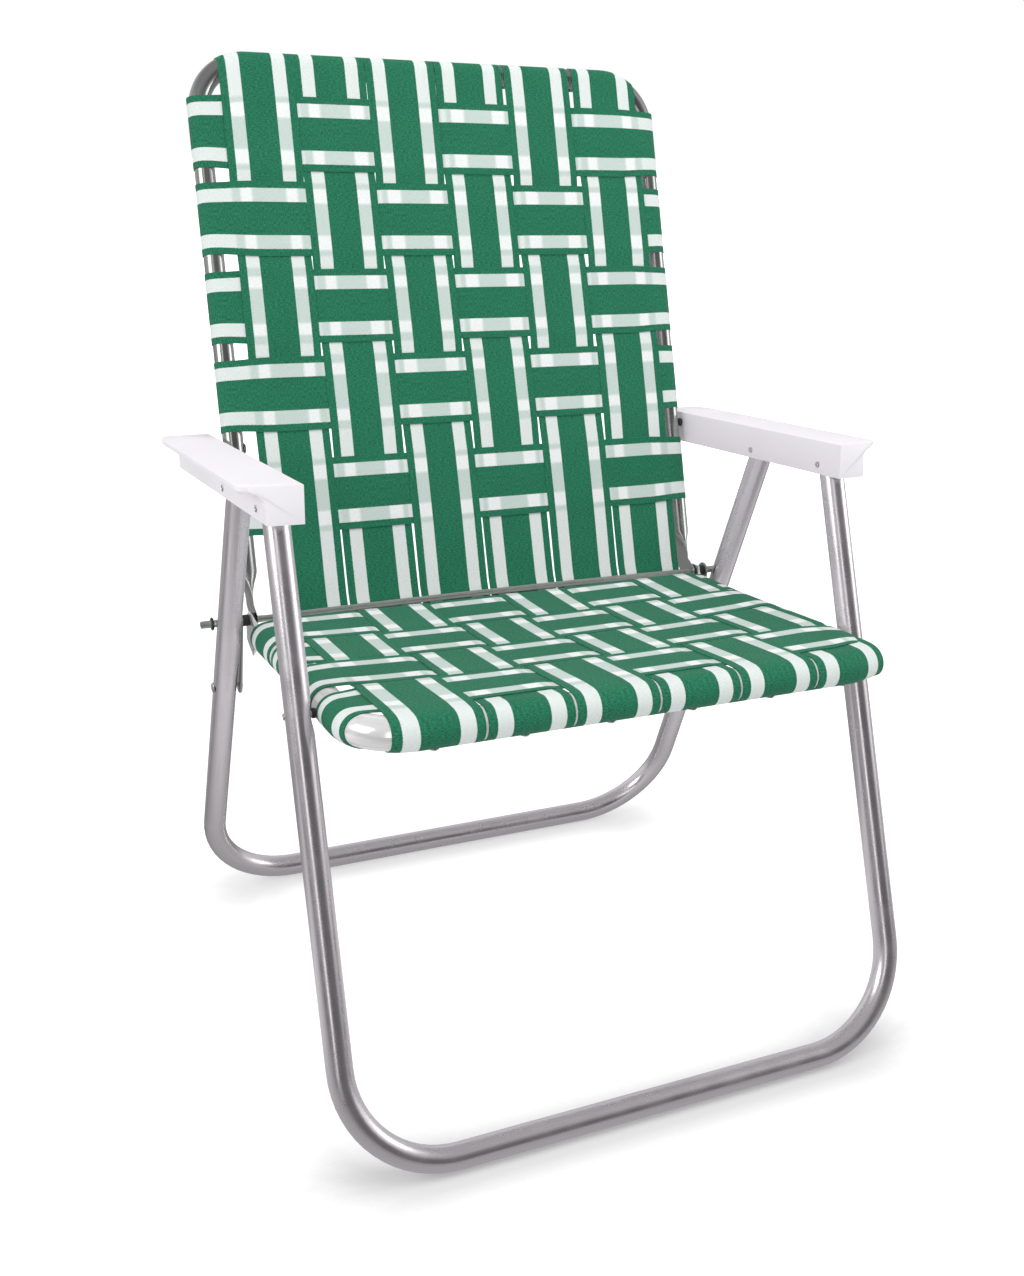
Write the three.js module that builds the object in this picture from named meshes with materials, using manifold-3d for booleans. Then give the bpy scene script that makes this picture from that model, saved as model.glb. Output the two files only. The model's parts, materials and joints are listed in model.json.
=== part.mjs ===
import * as THREE from 'three';
import { mergeVertices } from 'three/addons/utils/BufferGeometryUtils.js';
import Module from 'manifold-3d';

const wasm = await Module();
wasm.setup();

// A folding lawn chair of bent tube and woven webbing. Millimetres, +Z up, the chair faces -Y.
// Plan points are [y, z] in the side view, y from the front floor tube's axis.

// Clearances and facets
const GAP = 0.3;
const TUBE_SIDES = 20;
const BEND_STEPS = 6;
const SMALL_SIDES = 12;

// Leg frames: two U-shaped tubes standing on the floor
const LEG_TUBE_R = 12.7;
const LEG_HALF_SPAN = 308;
const LEG_BEND_R = 105;
const LEG_TOP_STUB = 11;
const FRONT_LEG_TOP = [243, 583.5];
const REAR_FLOOR_Y = 548;
const REAR_LEG_TOP = [369, 566.5];

// Seat frame: a U of tube, open at the rear, its rear ends pressed flat
const SEAT_TUBE_R = 15.875;
const LEG_TO_FRAME = 9.9;
const SEAT_BEND_R = 50;
const SEAT_FRONT = [83, 414.8];
const SEAT_SLOPE_DEG = -5.71;
const SEAT_PIVOT = [171.5, 407.5];
const SEAT_PRESS_LENGTH = 29;
const SEAT_FLAT_BEFORE_ROD = 8.9;
const SEAT_FLAT_END = 22;
const SEAT_FLAT_HALF_HEIGHT = 23.4;
const SEAT_FLAT_INSET = 3.6;
const SEAT_TIP_CHAMFER = 9;
const SEAT_HEEL_CHAMFER = 27;

// Back frame: a U of tube, open at the bottom, its lower ends pressed into flat blades
const BACK_TUBE_R = 11.1;
const BACK_BEND_R = 56;
const BACK_LEAN_DEG = 20.4;
const BACK_SET_BEHIND_ROD = 19;
const BACK_TOP = 604;
const BACK_ROUND_START = 52;
const BACK_PRESS_LENGTH = 30;
const BLADE_HALF_WIDTH = 17.4;
const BLADE_FORWARD = 10.5;
const BLADE_TIP = 10;
const BLADE_STEP_TOP = 16;
const BLADE_STEP_FOOT = 4;
const PRESSED_THICKNESS = 2.8;

// Cross rod: hinge of seat and back, and stop behind the rear legs
const ROD_POINT = [442.6, 394];
const ROD_R = 3.5;
const ROD_END_R = 4;
const ROD_OVERRUN = 13.3;
const ROD_BOW = 2;
const ROD_BOW_SHARES = [1, 0.96, 0.6, 0.25];
const HINGE_WASHER_R = 7.5;
const HINGE_WASHER_THICKNESS = 2.6;
const SPACER_R = 9;
const END_WASHER_R = 7;
const END_WASHER_THICKNESS = 1.8;

// Links from the rod down to the rear legs
const LINK_LEG_HEIGHT = 316;
const LINK_HALF_WIDTH = 9.5;
const LINK_THICKNESS = 2.5;
const LINK_TO_LEG = 2.3;

// Rivets and bushes
const RIVET_R = 3.2;
const RIVET_HEAD_R = 6.5;
const RIVET_HEAD_THICKNESS = 2;
const RIVET_CROWN_SHARE = 0.6;
const BUSH_R = 8;

// Arm rests: a channel open underneath, with a plate that overhangs on the outside
const ARM_SLOPE_DEG = -7.12;
const ARM_LEG_ROOM = 1.3;
const ARM_WALL = 3;
const ARM_TOP_THICKNESS = 3.6;
const ARM_OVERHANG = 23;
const ARM_RIM = 7;
const ARM_RIM_FACE_SHARES = [0.7, 0.2];
const ARM_FRONT = 39;
const ARM_REAR = 329;
const ARM_BELOW_PIVOT = 10;
const ARM_ABOVE_PIVOT = 25.8;
const ARM_FRONT_SKEW = 13;
const ARM_SKEW_SHARES = [0.4, 0.8];
const ARM_REAR_TAPER = 40;
const ARM_CORNER_R = 9;
const ARM_REAR_CORNER_SHARES = [0.5, 1.7];
const ARM_COVE_STEPS = 4;
const ARM_CORNER_STEPS = 3;
const BACK_ARM_HEIGHT = 186;

// Webbing
const WEB_WIDTH = 81;
const WEB_THICKNESS = 1.2;
const WEB_COLUMNS = 6;
const WEB_COLUMN_GAP = 2.5;
const WEB_SIDE_ROOM = 28.3;
const WEB_MITRE_LIMIT = 2;
const WEB_TAIL = 11;
const WEB_ARC_STEPS = 8;
const SEAT_ROW_FIRST = 56;
const SEAT_ROW_PITCH = 82.2;
const SEAT_ROW_OVER_EVEN = [true, false, true, false];
const BACK_TOP_ROW_DROP = 78.5;
const BACK_ROW_ABOVE_ARM = 55.8;
const BACK_ROW_BELOW_ARM = 57;
const BACK_UPPER_ROW_SHARES = [1, 0.6733, 0.3366, 0];
const BACK_ROW_OVER_EVEN = [true, false, true, false, true];
const WEB_UNDER_ROD_REACH = 3;
const WEB_DROP_START = 5;
const BACK_WEB_END = 1;

// Placing derived from the sizes above
const rad = THREE.MathUtils.degToRad;
const LEG_INNER = LEG_HALF_SPAN - LEG_TUBE_R;
const LEG_OUTER = LEG_HALF_SPAN + LEG_TUBE_R;
const FRAME_HALF_WIDTH = LEG_INNER - LEG_TO_FRAME;
const SEAT_X = FRAME_HALF_WIDTH - SEAT_TUBE_R;
const SEAT_FLAT_OUTER = FRAME_HALF_WIDTH - SEAT_FLAT_INSET;
const BACK_X = FRAME_HALF_WIDTH - BACK_TUBE_R;
const BLADE_OUTER = BACK_X + PRESSED_THICKNESS / 2;
const ROD_HALF_LENGTH = LEG_OUTER + ROD_OVERRUN;
const ARM_INNER = LEG_INNER - ARM_LEG_ROOM - ARM_WALL;
const ARM_OUTER = LEG_OUTER + ARM_LEG_ROOM + ARM_WALL;
const BACK_TOP_ROW = BACK_TOP - BACK_TOP_ROW_DROP;
const BACK_ARM_ROW = BACK_ARM_HEIGHT + BACK_ROW_ABOVE_ARM;
const BACK_ROW_PLACES = [
  ...BACK_UPPER_ROW_SHARES.map((share) => BACK_ARM_ROW + (BACK_TOP_ROW - BACK_ARM_ROW) * share),
  BACK_ARM_HEIGHT - BACK_ROW_BELOW_ARM,
];
const WEB_COLUMN_PITCH = (2 * (FRAME_HALF_WIDTH - WEB_SIDE_ROOM)) / WEB_COLUMNS;
const LONG_WEB_WIDTH = WEB_COLUMN_PITCH - WEB_COLUMN_GAP;
const LINK_OUTER = LEG_INNER - LINK_TO_LEG;
const LINK_INNER = LINK_OUTER - LINK_THICKNESS;
const WEB_LEVEL = GAP + WEB_THICKNESS / 2;
const WEAVE_STEP = WEB_THICKNESS + GAP;
const LEG_FLOOR_Z = LEG_TUBE_R;
const ROD_HOLE_R = ROD_END_R + GAP;
const RIVET_HOLE_R = RIVET_R + GAP;

// Materials
function material(color, roughness, metalness) {
  return new THREE.MeshStandardMaterial({ color, roughness, metalness });
}
const ALUMINIUM = [0xc9c9cd, 0.28, 1];
const ZINC = [0x9fa8a0, 0.35, 1];
const STEEL = [0x8d8f90, 0.35, 1];
const WHITE_PLASTIC = [0xf1f1ee, 0.5, 0];
const BLACK_NYLON = [0x16181a, 0.55, 0];
const GREEN_WEB = [0x2a8560, 0.75, 0];

const chair = new THREE.Group();
chair.name = 'folding_lawn_chair';

function add(name, geometry, look) {
  const mesh = new THREE.Mesh(geometry, material(...look));
  mesh.name = name;
  chair.add(mesh);
}

// Vectors, side-view frames and solids
function sidePoint(x, [y, z]) {
  return new THREE.Vector3(x, y, z);
}

class SideFrame {
  // along and up are unit directions in the side view; origin is a plan point
  constructor(origin, alongDeg) {
    const turn = rad(alongDeg);
    this.origin = origin;
    this.along = new THREE.Vector3(0, Math.cos(turn), Math.sin(turn));
    this.up = new THREE.Vector3(0, -Math.sin(turn), Math.cos(turn));
  }
  at(x, a, b) {
    return sidePoint(x, this.origin).addScaledVector(this.along, a).addScaledVector(this.up, b);
  }
  flat(a, b) {
    const p = this.at(0, a, b);
    return [p.y, p.z];
  }
  place([y, z]) {
    const offset = new THREE.Vector3(0, y - this.origin[0], z - this.origin[1]);
    return [offset.dot(this.along), offset.dot(this.up)];
  }
}

const seatPlan = new SideFrame(SEAT_FRONT, SEAT_SLOPE_DEG);
const ROD_ON_SEAT = seatPlan.place(ROD_POINT);
const SEAT_ROUND_LENGTH = ROD_ON_SEAT[0] - SEAT_FLAT_BEFORE_ROD - SEAT_PRESS_LENGTH;
const SEAT_LENGTH = SEAT_ROUND_LENGTH + SEAT_PRESS_LENGTH + SEAT_FLAT_END;
const rodBackPlan = new SideFrame(ROD_POINT, 90 - BACK_LEAN_DEG);
const BACK_BASE = rodBackPlan.flat(0, -BACK_SET_BEHIND_ROD);
const backPlan = new SideFrame(BACK_BASE, 90 - BACK_LEAN_DEG);
const armPlan = new SideFrame(FRONT_LEG_TOP, ARM_SLOPE_DEG);
const BACK_ARM_POINT = backPlan.flat(BACK_ARM_HEIGHT, 0);

function meshFrom(positions, triangles) {
  const geometry = new THREE.BufferGeometry();
  geometry.setAttribute('position', new THREE.Float32BufferAttribute(positions, 3));
  geometry.setIndex(triangles);
  geometry.computeVertexNormals();
  return geometry;
}

function sweep(rings, sides) {
  const positions = [];
  const triangles = [];
  for (const ring of rings) {
    for (let i = 0; i < sides; i += 1) {
      const turn = (2 * Math.PI * i) / sides;
      const p = ring.centre.clone();
      p.addScaledVector(ring.first, Math.cos(turn)).addScaledVector(ring.second, Math.sin(turn));
      positions.push(p.x, p.y, p.z);
    }
  }
  for (let r = 0; r < rings.length - 1; r += 1) {
    for (let i = 0; i < sides; i += 1) {
      const a = r * sides + i;
      const b = r * sides + ((i + 1) % sides);
      triangles.push(a, b, b + sides, a, b + sides, a + sides);
    }
  }
  const last = (rings.length - 1) * sides;
  for (let i = 1; i < sides - 1; i += 1) {
    triangles.push(0, i + 1, i);
    triangles.push(last, last + i, last + i + 1);
  }
  return meshFrom(positions, triangles);
}

function tubeRing(centre, tangent, planeNormal, radius, twist = 0) {
  const first = planeNormal.clone().applyAxisAngle(tangent, twist).multiplyScalar(radius);
  const second = new THREE.Vector3().crossVectors(tangent, first);
  return { centre, first, second };
}

// Ring centres and tangents of a U: up one side is along +a, the bend lies at a = 0
function uPath(plan, halfSpan, bendR, length, towardsEnd) {
  const points = [];
  for (const side of [-1, 1]) {
    const arc = [];
    for (let i = 0; i <= BEND_STEPS; i += 1) {
      const turn = (Math.PI / 2) * (i / BEND_STEPS);
      const x = side * (halfSpan - bendR + bendR * Math.cos(turn));
      const a = bendR - bendR * Math.sin(turn);
      const tangent = plan.along.clone().multiplyScalar(-Math.cos(turn));
      tangent.x = -side * Math.sin(turn);
      arc.push({ centre: plan.at(x, towardsEnd * a, 0), tangent });
    }
    const down = plan.along.clone().multiplyScalar(-1);
    const leg = [{ centre: plan.at(side * halfSpan, towardsEnd * length, 0), tangent: down }, ...arc];
    for (const point of leg) {
      if (towardsEnd < 0) {
        point.tangent.y = -point.tangent.y;
        point.tangent.z = -point.tangent.z;
      }
    }
    if (side < 0) {
      points.push(...leg);
    } else {
      leg.reverse();
      for (const point of leg) point.tangent.negate();
      points.push(...leg);
    }
  }
  return points;
}

function toManifold(geometry) {
  const bare = new THREE.BufferGeometry();
  bare.setAttribute('position', geometry.getAttribute('position').clone());
  if (geometry.index) bare.setIndex(geometry.index.clone());
  const welded = mergeVertices(bare, GAP / 1000);
  return new wasm.Manifold(
    new wasm.Mesh({
      numProp: 3,
      vertProperties: new Float32Array(welded.getAttribute('position').array),
      triVerts: new Uint32Array(welded.index.array),
    }),
  );
}

function fromManifold(solid) {
  const mesh = solid.getMesh();
  return meshFrom([...mesh.vertProperties], [...mesh.triVerts]);
}

function cut(geometry, tools) {
  let solid = toManifold(geometry);
  for (const tool of tools) solid = solid.subtract(toManifold(tool));
  return fromManifold(solid);
}

// Round solid about an X-wise line through a plan point; profile is [radius, x] pairs
function turned(profile, point, sides = SMALL_SIDES) {
  const shape = new THREE.LatheGeometry(profile.map(([r, x]) => new THREE.Vector2(r, x)), sides);
  shape.rotateZ(-Math.PI / 2);
  shape.translate(0, point[0], point[1]);
  return shape;
}

function cylinder(radius, low, high, point, sides = SMALL_SIDES) {
  return turned([[0, low], [radius, low], [radius, high], [0, high]], point, sides);
}

function ringSolid(outerR, holeR, low, high, point, sides = SMALL_SIDES) {
  const profile = [[holeR, low], [outerR, low], [outerR, high], [holeR, high], [holeR, low]];
  return turned(profile, point, sides);
}

function mirrored(geometry) {
  const twin = geometry.clone().scale(-1, 1, 1);
  if (!twin.index) {
    twin.setIndex([...Array(twin.getAttribute('position').count).keys()]);
  }
  const order = twin.index.array;
  for (let i = 0; i < order.length; i += 3) {
    [order[i + 1], order[i + 2]] = [order[i + 2], order[i + 1]];
  }
  return twin;
}

function addPair(name, geometry, look) {
  add(`${name}_right`, geometry, look);
  add(`${name}_left`, mirrored(geometry), look);
}

// Rivet along X with a low domed head at each end, low < high
function rivet(low, high, point) {
  const shoulder = RIVET_HEAD_THICKNESS / 2;
  const profile = [
    [0, low - RIVET_HEAD_THICKNESS],
    [RIVET_HEAD_R * RIVET_CROWN_SHARE, low - RIVET_HEAD_THICKNESS],
    [RIVET_HEAD_R, low - shoulder],
    [RIVET_HEAD_R, low],
    [RIVET_R, low],
    [RIVET_R, high],
    [RIVET_HEAD_R, high],
    [RIVET_HEAD_R, high + shoulder],
    [RIVET_HEAD_R * RIVET_CROWN_SHARE, high + RIVET_HEAD_THICKNESS],
    [0, high + RIVET_HEAD_THICKNESS],
  ];
  return turned(profile, point);
}

// Front and rear leg frames
function legFrame(floorY, top, pins) {
  const lean = THREE.MathUtils.radToDeg(Math.atan2(top[1] - LEG_FLOOR_Z, top[0] - floorY));
  const plan = new SideFrame([floorY, LEG_FLOOR_Z], lean);
  const length = Math.hypot(top[0] - floorY, top[1] - LEG_FLOOR_Z) + LEG_TOP_STUB;
  // An edge of the faceted tube runs along the floor
  const floorTurn = plan.up.angleTo(new THREE.Vector3(0, 0, 1)) % ((2 * Math.PI) / TUBE_SIDES);
  const rings = uPath(plan, LEG_HALF_SPAN, LEG_BEND_R, length, 1).map((point) =>
    tubeRing(point.centre, point.tangent, plan.up, LEG_TUBE_R, -floorTurn));
  const holes = [];
  for (const pin of pins) {
    const hole = cylinder(RIVET_HOLE_R, LEG_INNER - GAP, LEG_OUTER + GAP, pin);
    holes.push(hole, mirrored(hole));
  }
  return cut(sweep(rings, TUBE_SIDES), holes);
}

function alongLeg(floorY, top, z) {
  const share = (z - LEG_FLOOR_Z) / (top[1] - LEG_FLOOR_Z);
  return [floorY + (top[0] - floorY) * share, z];
}

const LINK_POINT = alongLeg(REAR_FLOOR_Y, REAR_LEG_TOP, LINK_LEG_HEIGHT);
add('front_leg_frame', legFrame(0, FRONT_LEG_TOP, [FRONT_LEG_TOP, SEAT_PIVOT]), ALUMINIUM);
add('rear_leg_frame', legFrame(REAR_FLOOR_Y, REAR_LEG_TOP, [REAR_LEG_TOP, LINK_POINT]), ALUMINIUM);

// A tube's end pressed flat. Sections run from the tube to its tip, each
// [length, half thickness, half width, x, offset]; outward is 1 where length grows away from the bend
function pressedEnd(plan, sections, side, outward) {
  const tangent = plan.along.clone().multiplyScalar(outward * side);
  const across = new THREE.Vector3().crossVectors(tangent, plan.up);
  const rings = sections.map(([length, thin, wide, x, offset]) => ({
    centre: plan.at(side * x, length, offset),
    first: plan.up.clone().multiplyScalar(wide),
    second: across.clone().multiplyScalar(thin),
  }));
  return side < 0 ? rings.reverse() : rings;
}

function pressedFrame(path, radius, plan, sections, outward) {
  const middle = path.slice(1, -1).map((point) =>
    tubeRing(point.centre, point.tangent, plan.up, radius));
  return sweep([
    ...pressedEnd(plan, sections, -1, outward),
    ...middle,
    ...pressedEnd(plan, sections, 1, outward),
  ], TUBE_SIDES);
}

function block(plan, xs, as, bs) {
  const box = new THREE.BoxGeometry(xs[1] - xs[0], as[1] - as[0], bs[1] - bs[0]);
  box.applyMatrix4(new THREE.Matrix4().makeBasis(new THREE.Vector3(1, 0, 0), plan.along, plan.up));
  const centre = plan.at((xs[0] + xs[1]) / 2, (as[0] + as[1]) / 2, (bs[0] + bs[1]) / 2);
  box.translate(centre.x, centre.y, centre.z);
  return box;
}

// A prism across X with a side-view outline given in a plan's coordinates
function prism(plan, outline, low, high) {
  const shape = new THREE.Shape(outline.map(([a, b]) => new THREE.Vector2(a, b)));
  const solid = new THREE.ExtrudeGeometry(shape, { depth: high - low, bevelEnabled: false });
  const across = new THREE.Vector3(1, 0, 0);
  solid.applyMatrix4(new THREE.Matrix4().makeBasis(plan.along, plan.up, across));
  const origin = plan.at(low, 0, 0);
  solid.translate(origin.x, origin.y, origin.z);
  return solid;
}

const SEAT_NARROWING_SHARES = [
  [0, 1, 1, 0],
  [0.3, 0.82, 0.93, 0.18],
  [0.6, 0.54, 0.89, 0.55],
  [0.76, 0.4, 0.87, 0.7],
];

function seatFrame() {
  const flatX = SEAT_FLAT_OUTER - PRESSED_THICKNESS / 2;
  const sections = SEAT_NARROWING_SHARES.map(([place, thin, wide, shift]) => [
    SEAT_ROUND_LENGTH + SEAT_PRESS_LENGTH * place,
    SEAT_TUBE_R * thin,
    SEAT_TUBE_R * wide,
    SEAT_X + (flatX - SEAT_X) * shift,
    0,
  ]);
  for (const length of [SEAT_ROUND_LENGTH + SEAT_PRESS_LENGTH, SEAT_LENGTH]) {
    sections.push([length, PRESSED_THICKNESS / 2, SEAT_FLAT_HALF_HEIGHT, flatX, 0]);
  }
  const path = uPath(seatPlan, SEAT_X, SEAT_BEND_R, SEAT_ROUND_LENGTH, 1);
  const frame = pressedFrame(path, SEAT_TUBE_R, seatPlan, sections, 1);
  const tip = SEAT_LENGTH + GAP;
  const high = SEAT_FLAT_HALF_HEIGHT + GAP;
  const tools = [
    prism(seatPlan, [[tip - SEAT_TIP_CHAMFER, high], [tip, high - SEAT_TIP_CHAMFER], [tip, high]],
      flatX - SEAT_TUBE_R, flatX + SEAT_TUBE_R),
    prism(seatPlan, [[tip - SEAT_HEEL_CHAMFER / 2, -high], [tip, -high], [tip, SEAT_HEEL_CHAMFER - high]],
      flatX - SEAT_TUBE_R, flatX + SEAT_TUBE_R),
    cylinder(ROD_HOLE_R, SEAT_X, FRAME_HALF_WIDTH, ROD_POINT),
    cylinder(RIVET_HOLE_R, SEAT_X - SEAT_TUBE_R - GAP, FRAME_HALF_WIDTH + GAP, SEAT_PIVOT),
  ];
  return cut(frame, [...tools, ...tools.map(mirrored)]);
}

function columnX(column) {
  return (column - (WEB_COLUMNS - 1) / 2) * WEB_COLUMN_PITCH;
}

const columns = [...Array(WEB_COLUMNS).keys()];
const seatRows = SEAT_ROW_OVER_EVEN.map((over, i) => ({
  place: SEAT_ROW_FIRST + i * SEAT_ROW_PITCH,
  overEven: over,
}));
const backRows = BACK_ROW_OVER_EVEN.map((over, i) => ({ place: BACK_ROW_PLACES[i], overEven: over }));
add('seat_frame', seatFrame(), ALUMINIUM);

// Back frame
const BLADE_SHARES = [
  [0, 1, 1],
  [0.4, 0.62, 1.2],
  [0.75, 0.26, 1.4],
];

const BLADE_NECK_SHARE = 0.93;
const BLADE_TIP_SHARES = [
  [0.35, 0.9],
  [0.6, 0.62],
];

function backFrame() {
  const topPlan = new SideFrame(backPlan.flat(BACK_TOP, 0), 90 - BACK_LEAN_DEG);
  const sections = BLADE_SHARES.map(([place, thin, wide]) => [
    BACK_ROUND_START - BACK_PRESS_LENGTH * place,
    BACK_TUBE_R * thin,
    BACK_TUBE_R * wide,
    BACK_X,
    0,
  ]);
  // The flat blade steps forward just above the rod, so that it clears the folded seat
  const bladeEnd = BLADE_HALF_WIDTH / 2 - BLADE_TIP;
  for (const length of [BACK_ROUND_START - BACK_PRESS_LENGTH, BLADE_STEP_TOP]) {
    sections.push([length, PRESSED_THICKNESS / 2, BLADE_HALF_WIDTH * BLADE_NECK_SHARE, BACK_X, 0]);
  }
  for (const length of [BLADE_STEP_FOOT, bladeEnd]) {
    sections.push([length, PRESSED_THICKNESS / 2, BLADE_HALF_WIDTH, BACK_X, BLADE_FORWARD]);
  }
  for (const [down, narrow] of BLADE_TIP_SHARES) {
    const length = bladeEnd - BLADE_HALF_WIDTH * down;
    sections.push([length, PRESSED_THICKNESS / 2, BLADE_HALF_WIDTH * narrow, BACK_X, BLADE_FORWARD]);
  }
  const path = uPath(topPlan, BACK_X, BACK_BEND_R, BACK_TOP - BACK_ROUND_START, -1);
  const frame = pressedFrame(path, BACK_TUBE_R, backPlan, sections, -1);
  const tools = [
    cylinder(ROD_HOLE_R, BACK_X - BACK_TUBE_R, FRAME_HALF_WIDTH, ROD_POINT),
    cylinder(RIVET_HOLE_R, BACK_X - BACK_TUBE_R - GAP, FRAME_HALF_WIDTH + GAP, BACK_ARM_POINT),
  ];
  return cut(frame, [...tools, ...tools.map(mirrored)]);
}
add('back_frame', backFrame(), ALUMINIUM);

// Cross rod, bowed a little upwards between the hinges
function crossRod() {
  const inner = BACK_X - BACK_TUBE_R;
  const xs = [-ROD_HALF_LENGTH, ...ROD_BOW_SHARES.map((share) => -inner * share)];
  const all = [...xs, 0, ...xs.slice().reverse().map((x) => -x)];
  const rings = all.map((x) => {
    const thick = Math.abs(x) >= inner ? ROD_END_R : ROD_R;
    const share = Math.min(1, Math.abs(x) / inner);
    const centre = sidePoint(x, [ROD_POINT[0], ROD_POINT[1] + ROD_BOW * (1 - share * share)]);
    return {
      centre,
      first: new THREE.Vector3(0, thick, 0),
      second: new THREE.Vector3(0, 0, thick),
    };
  });
  return sweep(rings, SMALL_SIDES);
}
add('cross_rod', crossRod(), ZINC);

const washerMid = (BLADE_OUTER + SEAT_FLAT_OUTER - PRESSED_THICKNESS) / 2;
addPair('hinge_washer', ringSolid(HINGE_WASHER_R, ROD_HOLE_R,
  washerMid - HINGE_WASHER_THICKNESS / 2, washerMid + HINGE_WASHER_THICKNESS / 2, ROD_POINT), BLACK_NYLON);
addPair('link_spacer', ringSolid(SPACER_R, ROD_HOLE_R,
  SEAT_FLAT_OUTER + GAP, LINK_INNER - GAP, ROD_POINT), BLACK_NYLON);
addPair('rod_end_washer', ringSolid(END_WASHER_R, ROD_HOLE_R,
  LEG_OUTER + GAP, LEG_OUTER + GAP + END_WASHER_THICKNESS, ROD_POINT), BLACK_NYLON);

// Links
function link() {
  const lean = Math.atan2(LINK_POINT[1] - ROD_POINT[1], LINK_POINT[0] - ROD_POINT[0]);
  const plan = new SideFrame(ROD_POINT, THREE.MathUtils.radToDeg(lean));
  const length = Math.hypot(LINK_POINT[0] - ROD_POINT[0], LINK_POINT[1] - ROD_POINT[1]);
  const outline = [];
  for (const [end, start] of [[length, -90], [0, 90]]) {
    for (let i = 0; i <= BEND_STEPS; i += 1) {
      const turn = rad(start + (180 * i) / BEND_STEPS);
      outline.push([end + LINK_HALF_WIDTH * Math.cos(turn), LINK_HALF_WIDTH * Math.sin(turn)]);
    }
  }
  const plate = prism(plan, outline, LINK_INNER, LINK_OUTER);
  const holes = [
    cylinder(ROD_HOLE_R, LINK_INNER - GAP, LINK_OUTER + GAP, ROD_POINT),
    cylinder(RIVET_HOLE_R, LINK_INNER - GAP, LINK_OUTER + GAP, LINK_POINT),
  ];
  return cut(plate, holes);
}
addPair('link', link(), ZINC);

function pinWithHead(headLow, shankEnd, point) {
  const profile = [
    [0, headLow - RIVET_HEAD_THICKNESS],
    [RIVET_HEAD_R * RIVET_CROWN_SHARE, headLow - RIVET_HEAD_THICKNESS],
    [RIVET_HEAD_R, headLow - RIVET_HEAD_THICKNESS / 2],
    [RIVET_HEAD_R, headLow],
    [RIVET_R, headLow],
    [RIVET_R, shankEnd],
    [0, shankEnd],
  ];
  return turned(profile, point);
}

function outerPin(shankStart, headLow, point) {
  const profile = [
    [0, shankStart],
    [RIVET_R, shankStart],
    [RIVET_R, headLow],
    [RIVET_HEAD_R, headLow],
    [RIVET_HEAD_R, headLow + RIVET_HEAD_THICKNESS / 2],
    [RIVET_HEAD_R * RIVET_CROWN_SHARE, headLow + RIVET_HEAD_THICKNESS],
    [0, headLow + RIVET_HEAD_THICKNESS],
  ];
  return turned(profile, point);
}
addPair('link_rivet_head', pinWithHead(LINK_INNER - GAP, LINK_OUTER, LINK_POINT), STEEL);
addPair('link_rivet', outerPin(LINK_OUTER + GAP, LEG_OUTER + GAP, LINK_POINT), STEEL);

// Pivot of the seat on the front legs
const seatInner = SEAT_X - SEAT_TUBE_R;
addPair('seat_pivot_rivet', rivet(seatInner - GAP, LEG_OUTER + GAP, SEAT_PIVOT), STEEL);
addPair('seat_pivot_bush', ringSolid(BUSH_R, RIVET_HOLE_R,
  FRAME_HALF_WIDTH + GAP, LEG_INNER - GAP, SEAT_PIVOT), BLACK_NYLON);

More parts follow.
